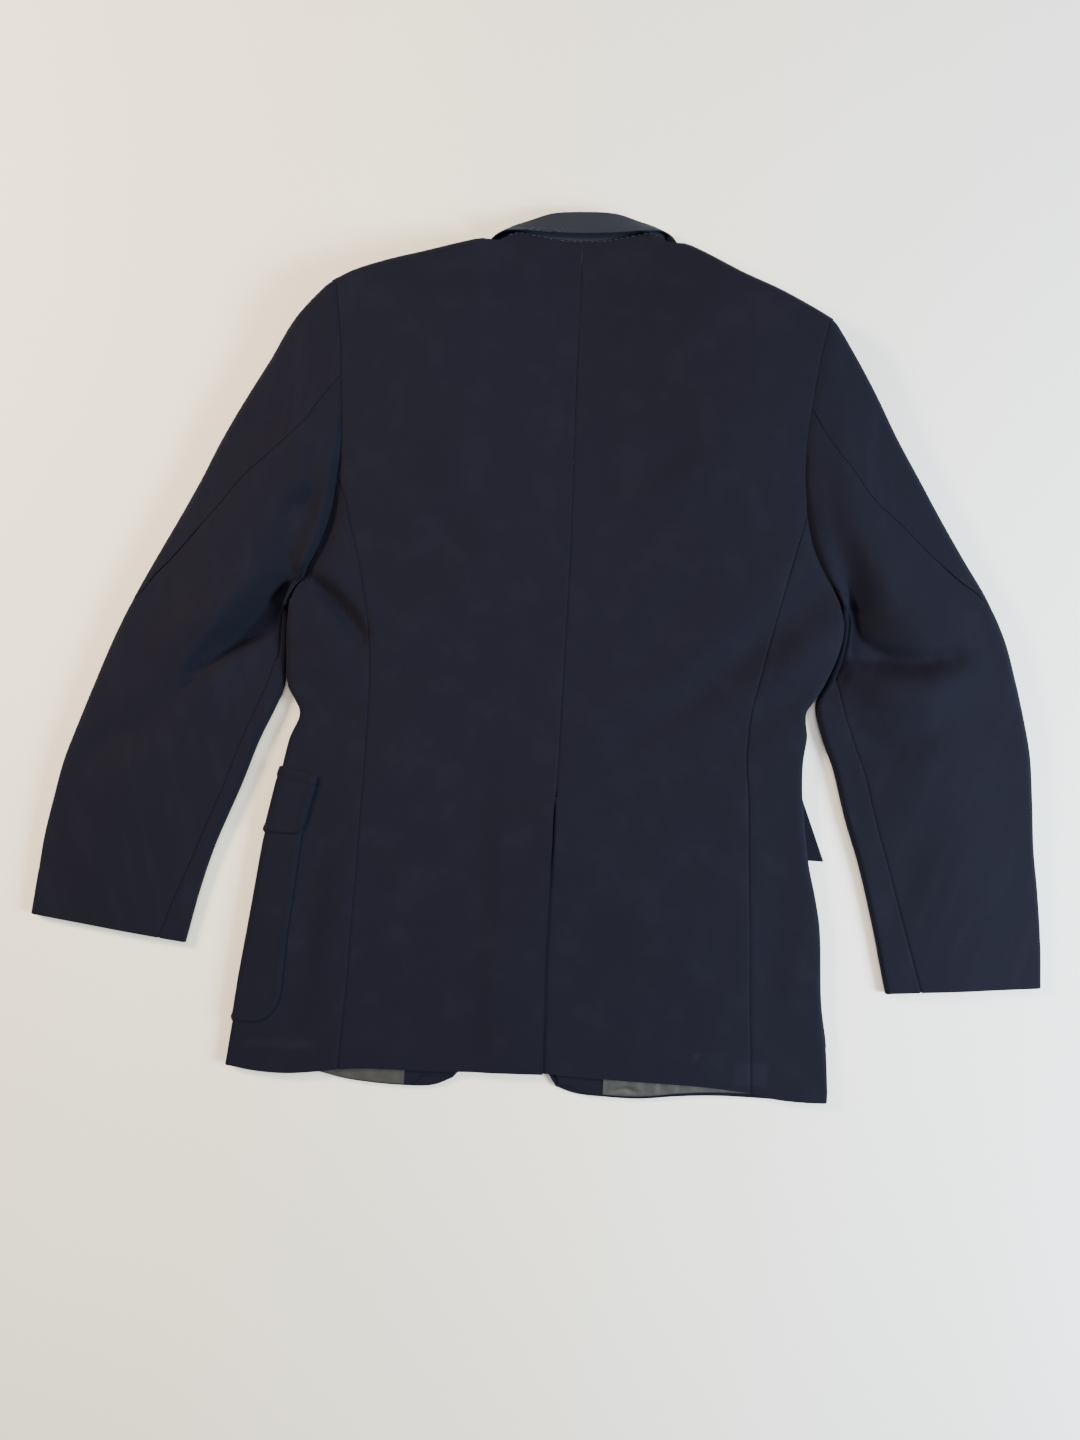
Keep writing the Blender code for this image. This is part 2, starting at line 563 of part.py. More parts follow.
def back_panel(side, seam_rows=SIDE_ROWS, arm_rows=ARM_ROWS, columns=BACK_COLUMNS):
    """The outer face of half the back, from the centre out and from the hem to the shoulder's roll."""
    sign = OUTWARD[side]
    out = np.linspace(0, 1, columns + 1)
    seam = beside_line(back_seam(side), sign * SEAM_GAP / 2, np.linspace(0, 1, seam_rows + 1))
    outer = np.concatenate([seam, upper_arm(side, arm_rows)[::-1][1:] - (sign * SEAM_GAP / 2, 0.0)])
    up = lengths_along(outer)
    centre = beside_line(spline(CENTRE_BACK), -sign * SEAM_GAP / 2, up)
    top, ways, rolls, turned = back_top(side, out)
    plan = coons(at_shares(spline(mirrored(HEM_BACK[side], side)), out), top, centre, outer, up)

    def height(x, y):
        return back_height(x, y) + (vent_lift(x, y) if side == LEFT else 0)

    flat = draped(plan, height)
    high = flat.points[-1, :, 2]
    low = high - 0.006 + (FRONT_REST - high + 0.006) * turned
    reach = 0.10 + 0.40 * turned
    turns = 1 - np.linspace(0, 1, WRAP_TURNS + 1)[:, None] * reach[None]
    roll = rolled(plan[-1][None], ways[None], np.broadcast_to(rolls, turns.shape), low, high, turns)
    roll.ways[0] = flat.ways[-1]
    return flat.above(roll)


def build_back(materials):
    """Both halves of the back. The right one has the vent's underlap, cut in one with it."""
    shell("back_left", back_panel(LEFT), CLOTH, materials["wool"])
    right = back_panel(RIGHT)
    under = [UNDERLAP_WIDTH, UNDERLAP_WIDTH / 2]
    rows = right.points.shape[0]
    edge = right.points[:, :1, :2]
    plan = np.concatenate([edge - (w, 0.0) for w in under] + [edge], 1)
    lap = draped(plan, back_height)
    kept = np.ones((rows - 1, plan.shape[1] + right.points.shape[1] - 2), bool)
    kept[right.points[1:, 0, 1] > UNDERLAP_TOP, : len(under)] = False
    lap.points[:, -1], lap.ways[:, -1] = right.points[:, 0], right.ways[:, 0]
    shell("back_right", lap.beside(right), CLOTH, materials["wool"], kept)


# The side panels

def side_levels(side, rows):
    """The levels of the side fold's rows, from the hem to the underarm."""
    return HEM_SIDE[side][-1][1] + np.linspace(0, 1, rows + 1) * (underarm_level(side) - HEM_SIDE[side][-1][1])


def side_panel(side, rows=SIDE_ROWS, flat=SIDE_FLAT, roll=SIDE_ROLL, under=SIDE_UNDER):
    """The outer face of a side: from the back seam, round the side fold and a little way under."""
    sign = OUTWARD[side]
    up, out = np.linspace(0, 1, rows + 1), np.linspace(0, 1, flat + 1)
    seam = beside_line(back_seam(side), -sign * SEAM_GAP / 2, up)
    levels = side_levels(side, rows)
    tangent, way, reach = fold_line(side, levels)
    hem = at_shares(spline(mirrored(HEM_SIDE[side], side)), out)
    arm = lower_arm(side, flat) - (sign * SEAM_GAP / 2, 0.0)
    top = draped(coons(hem, arm, seam, tangent, up), back_height)
    turns = np.linspace(1, 0, roll + 1)[None] * np.ones((rows + 1, 1))
    high = top.points[:, -1:, 2]
    bend = rolled(tangent[:, None], way[:, None], reach[:, None] * np.ones_like(turns), FRONT_REST, high, turns)
    bend.ways[:, 0] = top.ways[:, -1]
    shares = np.linspace(0, 1, under + 1)
    inner = side_front_seam(side, levels)
    beneath = tangent[:, None] * (1 - shares)[None, :, None] + inner[:, None] * shares[None, :, None]
    beneath[..., 1] += underarm_rise(side, beneath, up)
    return top.beside(bend).beside(level(beneath, FRONT_REST))


def lower_arm(side, columns):
    """The armhole's points on the side panel, from the back seam to the underarm."""
    return at_shares(spline(mirrored(ARMHOLE_LOWER[side], side)), np.linspace(0, 1, columns + 1))


def side_front_seam(side, levels):
    """The seam between the side and the front, on the underside."""
    tangent = fold_line(side, levels)[0]
    return tangent - (OUTWARD[side] * SIDE_FRONT_INSET, 0.0)


def underarm_rise(side, plan, up):
    """How far the underside's rows rise towards the front armhole above the underarm."""
    arm = spline(mirrored(ARMHOLE_FRONT[side], side))[::-1]
    arm = arm[arm[:, 1] < underarm_level(side) + 0.05]
    x = plan[..., 0] * OUTWARD[side]
    order = np.argsort(arm[:, 0] * OUTWARD[side])
    at_arm = np.interp(x, (arm[:, 0] * OUTWARD[side])[order], arm[:, 1][order])
    return 0.86 * (at_arm - underarm_level(side)) * smooth(up, 0.55, 1.0)[:, None]


def build_sides(materials):
    """The two side panels."""
    for side in (LEFT, RIGHT):
        shell(f"side_{side}", side_panel(side), CLOTH, materials["wool"])


# The fronts, face down

FRONT_COLUMNS = 7


def front_outer(side, seam_rows, arm_rows):
    """The front's outer boundary: the seam with the side, then the front armhole up to the shoulder tip."""
    sign = OUTWARD[side]
    levels = side_levels(side, seam_rows)
    seam = side_front_seam(side, levels)
    up = np.linspace(0, 1, seam_rows + 1)
    seam[:, 1] += underarm_rise(side, seam[:, None], up)[:, 0]
    arm = spline(mirrored(ARMHOLE_FRONT[side], side))[::-1]
    arm = arm[(arm[:, 1] > seam[-1, 1]) & (arm[:, 0] * sign < 0.230)]
    arm = at_shares(np.concatenate([seam[-1:], arm]), np.linspace(0, 1, arm_rows + 1))
    return np.concatenate([seam, arm[1:]]) - (sign * SEAM_GAP, 0.0)


def front_panel(side, seam_rows=SIDE_ROWS, arm_rows=ARM_ROWS, columns=FRONT_COLUMNS):
    """The outer face of a front, which faces down: from the side to the front edge and from the hem to the shoulder."""
    out = np.linspace(0, 1, columns + 1)
    outer = front_outer(side, seam_rows, arm_rows)
    up = lengths_along(outer)
    hem = spline(mirrored(HEM_FRONT[side], side))
    edge = at_shares(spline(FRONT_EDGE[side]), up)
    tangent, ways, roll = shoulder_lines(side, 1 - out)
    plan = coons(at_shares(hem, out), tangent, outer, edge, up)
    lift = overlap_lift(plan[..., 0], plan[..., 1]) if side == RIGHT else 0.0
    under = level(plan, FRONT_REST + lift)
    high = back_height(tangent[:, 0], tangent[:, 1])
    share = 0.5 - SEAM_GAP / (math.pi * SHOULDER_ROLL)
    turns = np.linspace(0, share, WRAP_TURNS + 1)[:, None] * np.ones(columns + 1)[None]
    low = under.points[-1, :, 2]
    bend = rolled(plan[-1][None], ways[None], np.broadcast_to(roll, turns.shape), low, high, turns)
    return under.above(bend)


def build_fronts(materials):
    """The two fronts."""
    for side in (LEFT, RIGHT):
        shell(f"front_{side}", front_panel(side), CLOTH, materials["wool"])


def build_lapels(materials):
    """The lapels, turned out and lying between the fronts and the surface."""
    up, out = np.linspace(0, 1, 10), np.linspace(0, 1, 5)
    for side in (LEFT, RIGHT):
        sign = OUTWARD[side]
        edge = spline(FRONT_EDGE[side])
        levels = LAPEL_BREAK[side] + up * (LAPEL_TOP[side] - LAPEL_BREAK[side])
        turn = np.interp(levels, edge[:, 1], edge[:, 0])
        width = 0.004 + (LAPEL_WIDTH - 0.004) * up**0.8
        plan = np.stack([turn[:, None] + sign * width[:, None] * out, levels[:, None] - 0.030 * up[:, None] * out], -1)
        surface = level(plan, FRONT_REST - LAYER_GAP - CLOTH)
        shell(f"lapel_{side}", surface, CLOTH, materials["wool"])


# The sleeves

SLEEVE_ROWS = 24
ELBOW_VERTEX, INNER_VERTICES = 4, 1
ROLL_WEIGHT = 2.0
OUTER_LEAD, INNER_LAG = 0.17, 0.20


class Sleeve:
    """One sleeve as a flattened tube, from the armhole to the cuff.

    along runs from 0 at the armhole to 1 at the cuff. round runs from 0 to 1 up the outer fold, from 1 to 2 across
    the back, from 2 to 3 down the inner fold and from 3 to 4 across the underside."""

    def __init__(self, side, rows):
        self.side, self.sign = side, OUTWARD[side]
        self.along = np.linspace(0, 1, rows + 1)
        self.outer_share = self.along + OUTER_LEAD * np.sin(np.pi * self.along)
        self.inner_share = self.along - INNER_LAG * np.sin(np.pi * self.along)
        outer = spline(mirrored(SLEEVE_OUTER[side], side))
        inner = spline(mirrored(SLEEVE_INNER[side], side))
        self.rolls = [curve_of(SLEEVE_COLUMNS, SLEEVE, f"{n}_roll", self.along) for n in ("outer", "inner")]
        self.outer_way = at_shares(outer, self.outer_share, outward_of(outer, self.sign))
        self.inner_way = at_shares(inner, self.inner_share, outward_of(inner, -self.sign))
        tip = mirrored([SHOULDER_TIP_WAY[side]], side)
        start = smooth(self.along, 0.0, 0.10)[:, None]
        self.outer_way = (1 - start) * tip / np.linalg.norm(tip) + start * self.outer_way
        self.inner_way = (1 - start) * np.array([[-self.sign, 0.0]]) + start * self.inner_way
        for ways in (self.outer_way, self.inner_way):
            ways /= np.linalg.norm(ways, axis=1)[:, None]
        near = (1 - self.along[:, None]) ** 3 * (self.sign * ARM_GAP, 0.0)
        self.outer = at_shares(outer, self.outer_share) - self.outer_way * self.rolls[0][:, None] + near
        self.inner = at_shares(inner, self.inner_share) - self.inner_way * self.rolls[1][:, None] + near
        self.back_arm = np.concatenate([upper_arm(side, ARM_ROWS), lower_arm(side, SIDE_FLAT)[1:]])
        self.front_arm = spline(mirrored(ARMHOLE_FRONT[side], side))

    def plan(self, station, share, arm, gap):
        """Plan points at a station and a share of the way from the outer to the inner fold."""
        share = np.asarray(share, float)
        across_share = share[:, None]
        start, end = self.outer[0], self.inner[0]
        apart = np.array([self.sign * gap, 0.0])
        seam = at_shares(arm, share) + apart + (end - arm[-1] - apart) * smooth(across_share, 0.90, 1.0)
        bulge = seam - start - (end - start) * across_share
        outer, inner = self.outer[station], self.inner[station]
        fade = (1 - self.along[station]) ** (5 + 12 * across_share**3)
        return outer + (inner - outer) * across_share + bulge * fade

    def height(self, station, share, plan):
        """The back's height at a station."""
        t, share = self.along[station], np.asarray(share, float)
        parts = [float(curve_of(SLEEVE_COLUMNS, SLEEVE, n, t)) for n in ("outer", "crown", "inner")]
        window = smooth(share, 0.0, 0.16) * smooth(1 - share, 0.0, 0.16)
        own = across(*parts, share) + window * fold_rise("sleeve", plan[:, 0], plan[:, 1])
        body = back_height(plan[:, 0], plan[:, 1])
        return body + (own - body) * smooth(t, 0.0, 0.10)

    def rest(self, station):
        """How high the underside lies: on the surface, but for the rise to the front armhole."""
        return FRONT_REST * (1 - smooth(self.along[station], 0.02, 0.14))

    def lengths(self, station):
        """The length round each of the four stretches, with more weight on the rolls."""
        width = float(np.linalg.norm(self.inner[station] - self.outer[station]))
        high = self.height(station, [0.0, 1.0], np.stack([self.outer[station], self.inner[station]]))
        folds = [math.pi * (roll[station] + z / 2) / 2 for roll, z in zip(self.rolls, high)]
        return np.array([folds[0], width, folds[1], width])

    def spread(self, station, start, end, count):
        """count + 1 places round the tube from start to end, evenly spaced but closer on the rolls."""
        lengths = self.lengths(station) * (ROLL_WEIGHT, 1.0, ROLL_WEIGHT, 1.0)
        along = np.concatenate([[0.0], np.cumsum(np.tile(lengths, 2))])
        marks = np.interp([start, end], np.arange(9.0), along)
        return np.interp(np.linspace(marks[0], marks[1], count + 1), along, np.arange(9.0))

    def row(self, station, places):
        """Points and ways out at some places round the tube."""
        points, ways = np.zeros((len(places), 3)), np.zeros((len(places), 3))
        places = np.asarray(places) % 4.0
        low = self.rest(station)
        ends = self.height(station, [0.0, 1.0], np.stack([self.outer[station], self.inner[station]]))
        for k, place in enumerate(places):
            if place < 1 or 2 < place < 3:
                is_outer = place < 1
                tangent = (self.outer if is_outer else self.inner)[station]
                way = (self.outer_way if is_outer else self.inner_way)[station]
                turn = place if is_outer else 3 - place
                reach, high = self.rolls[0 if is_outer else 1][station], ends[0 if is_outer else 1]
                piece = rolled(tangent, way, np.array(reach), low, high, np.array(turn))
                points[k], ways[k] = piece.points, piece.ways
            elif place <= 2:
                plan = self.plan(station, [place - 1], self.back_arm, ARM_GAP)
                points[k], ways[k] = (*plan[0], self.height(station, [place - 1], plan)[0]), (0, 0, 1)
            else:
                plan = self.plan(station, [4 - place], self.front_arm, UNDER_ARM_GAP)[0]
                points[k], ways[k] = (*plan, low), (0, 0, -1)
        return points, ways

    def seams(self, station):
        """Where the elbow and forearm seams are round the tube, at a station."""
        if station == 0:
            shares = lengths_along(self.back_arm)
            return 1 + shares[ELBOW_VERTEX], 1 + shares[-1 - INNER_VERTICES]
        known = column(SEAM_COLUMNS, SLEEVE_SEAMS, "along")
        names = [f"{self.side}_{name}" for name in ("elbow", "forearm")]
        return [np.interp(self.along[station], known, column(SEAM_COLUMNS, SLEEVE_SEAMS, n)) for n in names]

    def gap(self, station, place):
        """Half a seam's gap, counted round the tube. It is wider where the seam turns over the outer fold."""
        wide = TURNING_SEAM if 0.5 < place < 1.1 else SEAM_GAP * 0.9
        return wide / self.lengths(station)[int(place % 4)]

    def piece(self, stretches):
        """A surface over all stations. stretches gives the places round the tube for one station."""
        rows = [self.row(i, stretches(i)) for i in range(len(self.along))]
        return Surface(np.array([r[0] for r in rows]), np.array([r[1] for r in rows]))

    def top_places(self, station, counts=(2, 4, 7, 4, 4)):
        """The top sleeve's places: from the forearm seam over the inner fold, along the underside and up to the elbow."""
        elbow, forearm = self.seams(station)
        start, end = forearm + self.gap(station, forearm), 4 + elbow - self.gap(station, elbow)
        if station == 0:
            marks = 5 + lengths_along(self.back_arm)[: counts[4] + 1]
            marks[-1] = end
            last = np.concatenate([np.linspace(4, 5, counts[3] + 1), marks[1:]])
        else:
            last = self.spread(station, 4, end, counts[3] + counts[4])
        first = self.spread(station, start, 2, counts[0])
        middle = [np.linspace(2, 3, counts[1] + 1)[1:], np.linspace(3, 4, counts[2] + 1)[1:]]
        return np.concatenate([first, *middle, last[1:]])

    def under_places(self, station):
        """The under sleeve's places, from the elbow seam across to the forearm seam."""
        count = ARM_ROWS + SIDE_FLAT - ELBOW_VERTEX - INNER_VERTICES
        elbow, forearm = self.seams(station)
        start, end = elbow + self.gap(station, elbow), forearm - self.gap(station, forearm)
        if station == 0:
            marks = 1 + lengths_along(self.back_arm)[ELBOW_VERTEX : ELBOW_VERTEX + count + 1]
            marks[0], marks[-1] = start, end
            return marks
        return self.spread(station, start, end, count)


def build_sleeves(materials):
    """The two halves of each sleeve."""
    for side in (LEFT, RIGHT):
        sleeve = Sleeve(side, SLEEVE_ROWS)
        shell(f"top_sleeve_{side}", sleeve.piece(sleeve.top_places), CLOTH, materials["wool"])
        shell(f"under_sleeve_{side}", sleeve.piece(sleeve.under_places), CLOTH, materials["wool"])


# The collar

COLLAR_STATIONS, COLLAR_STAND, COLLAR_TURNS, COLLAR_LEAF = 27, 2, 4, 2
COLLAR_ROLL = 0.0018


def collar_section(foot, roll, edge):
    """Points from the foot, round the roll and down the leaf to the free edge."""
    toward = roll - (foot + edge) / 2
    toward = toward / np.linalg.norm(toward)
    across = foot - edge
    across = across - (across @ toward) * toward
    across = COLLAR_ROLL * across / np.linalg.norm(across)
    toward = COLLAR_ROLL * toward
    turns = np.linspace(0, math.pi, COLLAR_TURNS + 1)[:, None]
    bend = roll - toward + across * np.cos(turns) + toward * np.sin(turns)
    stand = foot + (bend[0] - foot) * np.linspace(0, 1, COLLAR_STAND + 1)[:-1, None]
    leaf = bend[-1] + (edge - bend[-1]) * np.linspace(0, 1, COLLAR_LEAF + 1)[1:, None]
    return np.concatenate([stand, bend, leaf])


def build_collar(materials):
    """The collar in one piece: the stand, the roll and the leaf that falls over it."""
    half = {name: np.array([row[i] for row in COLLAR], float) for i, name in enumerate(COLLAR_COLUMNS)}
    lines = {}
    for name, points in half.items():
        left = points[::-1] * (-1, 1, 1)
        whole = np.concatenate([left, points[1:]])
        whole[:, 1] += NECK_SKEW * whole[:, 0]
        lines[name] = at_shares(spline(whole), np.linspace(0, 1, COLLAR_STATIONS))
    rows = [
        collar_section(lines["foot"][i], lines["roll"][i], lines["edge"][i])
        for i in range(COLLAR_STATIONS)
    ]
    points = np.array(rows)
    along = np.gradient(points, axis=0)
    over = np.gradient(points, axis=1)
    ways = np.cross(over, along)
    surface = Surface(np.maximum(points, (-1.0, -1.0, 0.0)), ways)
    shell("collar", surface, THIN_CLOTH, materials["collar"])


# Pockets and flaps

def side_places(side, rear, levels, reach, roll=5, flat=2, under=4):
    """A surface on the body's outer face from a rear edge on the back, round the side fold and reach to the front."""
    tangent, way, wide = fold_line(side, levels)
    sign = OUTWARD[side]
    high = back_height(tangent[:, 0], tangent[:, 1])[:, None]
    turns = np.linspace(1 if rear is not None else 0.42, 0, roll + 1)[None] * np.ones((len(levels), 1))
    bend = rolled(tangent[:, None], way[:, None], wide[:, None] * np.ones_like(turns), FRONT_REST, high, turns)
    shares = np.linspace(0, 1, under + 1)[None, :, None]
    inner = tangent - (sign * reach, 0.0)
    found = bend.beside(level(tangent[:, None] * (1 - shares) + inner[:, None] * shares, FRONT_REST))
    if rear is None:
        return found
    shares = np.linspace(0, 1, flat + 1)[None, :, None]
    edge = np.stack([sign * rear, levels], 1)
    top = draped(edge[:, None] * (1 - shares) + tangent[:, None] * shares, back_height)
    bend.ways[:, 0] = top.ways[:, -1]
    return top.beside(found)


def build_pockets(materials):
    """The patch pockets with their flaps. The left ones show behind the side fold, the right ones lie in front of it."""
    levels = np.linspace(POCKET_FOOT, POCKET_TOP, 11)
    rear = np.array(POCKET_REAR[LEFT])
    rear_at = np.interp(levels, rear[::-1, 1], rear[::-1, 0])
    corner = np.clip(1 - (levels - POCKET_FOOT) / POCKET_CORNER, 0, 1)
    rear_at = rear_at + POCKET_CORNER * 0.7 * (1 - np.sqrt(1 - corner**2))
    pocket = side_places(LEFT, rear_at, levels, POCKET_WIDTH).out(LAYER_GAP + THIN_CLOTH)
    shell("pocket_left", pocket, THIN_CLOTH, materials["wool"])
    levels = np.linspace(FLAP_FOOT, FLAP_TOP, 6)
    rear = np.array(FLAP_REAR[LEFT])
    rear_at = np.interp(levels, rear[::-1, 1], rear[::-1, 0])
    flap = side_places(LEFT, rear_at, levels, FLAP_WIDTH).out(2 * (LAYER_GAP + THIN_CLOTH))
    shell("flap_left", flap, THIN_CLOTH, materials["wool"])
    levels = np.linspace(POCKET_FOOT, POCKET_TOP, 11)
    pocket = side_places(RIGHT, None, levels, POCKET_WIDTH).out(LAYER_GAP + THIN_CLOTH)
    shell("pocket_right", pocket, THIN_CLOTH, materials["wool"])
    levels = np.linspace(FLAP_FOOT, FLAP_TOP, 6)
    flap = side_places(RIGHT, None, levels, FLAP_WIDTH).out(2 * (LAYER_GAP + THIN_CLOTH))
    shell("flap_right", flap, THIN_CLOTH, materials["wool"])


def front_strip(side, inner, outer, rows, columns, z):
    """A strip inside a front near its hem, between two plan distances from the centre and up from the hem."""
    hem = spline(mirrored(HEM_FRONT[side], side))
    order = np.argsort(hem[:, 0])
    x = np.linspace(inner, outer, columns)
    foot = np.interp(x, hem[order, 0], hem[order, 1]) + HEM_MARGIN
    up = np.linspace(0, 1, rows)[:, None]
    levels = foot[None] + up * (HEM_STRIP_TOP - foot)[None]
    return np.stack([x + np.zeros_like(levels), levels], -1), z


def build_insides(materials):
    """The strips of facing and lining that show past the back's hem, inside the fronts."""
    for side in (LEFT, RIGHT):
        sign = OUTWARD[side]
        edge = spline(FRONT_EDGE[side])
        split, far = FACING_INNER[side], LINING_OUTER[side]
        z = FRONT_REST + CLOTH + LAYER_GAP
        lining = front_strip(side, split + sign * SEAM_GAP, far, 5, 9, z)[0]
        facing = front_strip(side, split, 0.0, 5, 7, z)[0]
        near = np.interp(facing[:, 0, 1] + 0.0, edge[:, 1], edge[:, 0])
        shares = np.linspace(0, 1, facing.shape[1])[None]
        facing[..., 0] = split + (near[:, None] + sign * HEM_MARGIN - split) * shares
        for name, plan, slot in (("lining", lining, "lining"), ("facing", facing, "wool")):
            lift = overlap_lift(plan[..., 0], plan[..., 1]) if side == RIGHT else 0.0 * plan[..., 0]
            face = level(plan, 0.0)
            face.points[..., 2] = z + lift + THIN_CLOTH
            face.ways[..., 2] = 1.0
            shell(f"{name}_{side}", face, THIN_CLOTH, materials[slot])


def build_buttons(materials):
    """The two front buttons, face down on the surface below the left front."""
    for i, y in enumerate(BUTTON_LEVELS):
        mesh = bmesh.new()
        bmesh.ops.create_cone(
            mesh, cap_ends=True, segments=28, radius1=BUTTON_RADIUS * 0.94, radius2=BUTTON_RADIUS, depth=BUTTON_THICKNESS
        )
        bmesh.ops.translate(
            mesh, verts=mesh.verts, vec=(BUTTON_X - ORIGIN_X, y - ORIGIN_Y, BUTTON_THICKNESS / 2)
        )
        data = bpy.data.meshes.new(f"front_button_{i + 1}")
        mesh.to_mesh(data)
        mesh.free()
        data.materials.append(materials["button"])
        placed(f"front_button_{i + 1}", data)


def main():
    """Clears the scene and makes every piece."""
    for item in list(bpy.data.objects):
        bpy.data.objects.remove(item)
    collection = bpy.data.collections.new(COLLECTION)
    bpy.context.scene.collection.children.link(collection)
    materials = {
        "wool": cloth_material("navy_wool", NAVY, 0.85),
        "collar": cloth_material("collar_wool", NAVY_COLLAR, 0.85),
        "lining": cloth_material("grey_lining", LINING_GREY, 0.55),
        "button": cloth_material("dark_horn", HORN, 0.35),
    }
    build_back(materials)
    build_sides(materials)
    build_fronts(materials)
    build_lapels(materials)
    build_sleeves(materials)
    build_collar(materials)
    build_pockets(materials)
    build_insides(materials)
    build_buttons(materials)


main()
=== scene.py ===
"""A single-breasted navy blazer laid out face down: the fronts lie on the floor and the back is on top.

Metres. +X is to the right as one looks down on the back, +Y runs from the hem to the collar, and +Z is up.
The cutter's tables count x outwards from the centre back line and y along it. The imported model's origin is the
middle of the garment's outline, ORIGIN_X and ORIGIN_Y away from the cutter's.
"""

import logging
import math
from dataclasses import dataclass
from enum import Enum
from functools import lru_cache
from typing import Callable, Optional, Sequence

import bmesh
import bpy
import numpy as np
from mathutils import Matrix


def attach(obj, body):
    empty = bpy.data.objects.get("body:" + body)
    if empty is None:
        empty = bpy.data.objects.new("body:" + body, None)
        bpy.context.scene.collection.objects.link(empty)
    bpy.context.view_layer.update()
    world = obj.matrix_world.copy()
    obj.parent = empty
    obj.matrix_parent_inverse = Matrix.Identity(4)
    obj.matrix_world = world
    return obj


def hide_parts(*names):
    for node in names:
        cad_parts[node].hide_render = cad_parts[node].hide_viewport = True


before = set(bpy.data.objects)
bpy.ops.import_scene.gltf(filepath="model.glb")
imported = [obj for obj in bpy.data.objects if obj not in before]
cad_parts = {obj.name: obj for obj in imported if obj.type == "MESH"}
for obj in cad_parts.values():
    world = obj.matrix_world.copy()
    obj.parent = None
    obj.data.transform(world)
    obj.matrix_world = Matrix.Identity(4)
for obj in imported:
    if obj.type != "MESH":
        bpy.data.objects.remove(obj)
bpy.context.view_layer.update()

log = logging.getLogger("blazer")

# Driving sizes, as in the part
ORIGIN_X = -0.0120
ORIGIN_Y = 0.0537
CLOTH = 0.0016
THIN_CLOTH = 0.0010
SEAM_GAP = 0.0002
LAYER_GAP = 0.0004
ARM_GAP = 0.0002
TURNING_SEAM = 0.0004
UNDER_ARM_GAP = 0.0024
FRONT_REST = 0.0028
FLOOR_GAP = 0.0001
NECK_SKEW = 0.042
VENT_TOP = -0.0686
UNDERLAP_WIDTH = 0.040
UNDERLAP_LIFT = 0.0022
OVERLAP_LIFT = 0.0021


class Side(Enum):
    """The garment's two sides, as one looks down on its back."""

    LEFT = "left"
    RIGHT = "right"

    @property
    def out(self) -> float:
        """The sign of x away from the centre back."""
        return -1.0 if self is Side.LEFT else 1.0


class Slot(Enum):
    """The record's material slots."""

    WOOL = "navy_wool"
    COLLAR = "collar_wool"
    LINING = "grey_lining"
    HORN = "dark_horn"


Table = Sequence[Sequence[float]]

# The body, section by section from the hem up: where the back seam and the side fold lie, and how wide the fold's
# roll is. Distances are from the centre back line.
BODY_COLUMNS = ("y", "left_seam", "left_edge", "left_roll", "right_seam", "right_edge", "right_roll")
BODY: Table = (
    (-0.3320, 0.1900, 0.2945, 0.0045, 0.1925, 0.2642, 0.0040),
    (-0.2900, 0.1877, 0.2893, 0.0055, 0.1900, 0.2605, 0.0050),
    (-0.2500, 0.1855, 0.2848, 0.0060, 0.1875, 0.2540, 0.0055),
    (-0.1800, 0.1828, 0.2752, 0.0065, 0.1840, 0.2490, 0.0060),
    (-0.1500, 0.1817, 0.2714, 0.0065, 0.1821, 0.2430, 0.0060),
    (-0.1200, 0.1807, 0.2672, 0.0065, 0.1802, 0.2356, 0.0060),
    (-0.0600, 0.1790, 0.2555, 0.0065, 0.1768, 0.2275, 0.0060),
    (-0.0280, 0.1780, 0.2490, 0.0065, 0.1735, 0.2265, 0.0060),
    (-0.0040, 0.1775, 0.2405, 0.0065, 0.1743, 0.2290, 0.0060),
    (0.0090, 0.1772, 0.2462, 0.0075, 0.1752, 0.2272, 0.0060),
    (0.0190, 0.1770, 0.2520, 0.0092, 0.1764, 0.2275, 0.0065),
    (0.0300, 0.1771, 0.2546, 0.0100, 0.1783, 0.2345, 0.0072),
    (0.0450, 0.1776, 0.2552, 0.0095, 0.1815, 0.2428, 0.0080),
    (0.0760, 0.1801, 0.2560, 0.0090, 0.1886, 0.2545, 0.0080),
    (0.1000, 0.1834, 0.2545, 0.0022, 0.1941, 0.2572, 0.0062),
    (0.1220, 0.1878, 0.2540, 0.0012, 0.1987, 0.2512, 0.0012),
)

# The seam between the back and the side above the last section, up to the armhole.
SEAM_TOP = {
    Side.LEFT: ((0.1925, 0.1429), (0.2004, 0.1720), (0.2062, 0.1940), (0.2140, 0.2112)),
    Side.RIGHT: ((0.2024, 0.1410), (0.2094, 0.1710), (0.2163, 0.1984)),
}

# The armhole on the back, from the shoulder tip down to the seam, and from the seam down to the underarm.
ARMHOLE_UPPER = {
    Side.LEFT: (
        (0.2203, 0.3822), (0.2160, 0.3514), (0.2128, 0.3155), (0.2118, 0.2850), (0.2103, 0.2550), (0.2110, 0.2330),
        (0.2140, 0.2112),
    ),
    Side.RIGHT: (
        (0.2242, 0.3690), (0.2186, 0.3363), (0.2142, 0.2999), (0.2112, 0.2642), (0.2118, 0.2310), (0.2163, 0.1984),
    ),
}
ARMHOLE_LOWER = {
    Side.LEFT: (
        (0.2140, 0.2112), (0.2182, 0.1837), (0.2276, 0.1536), (0.2395, 0.1270), (0.2475, 0.1120), (0.2523, 0.1000),
    ),
    Side.RIGHT: ((0.2163, 0.1984), (0.2250, 0.1690), (0.2355, 0.1490), (0.2448, 0.1340), (0.2500, 0.1220)),
}
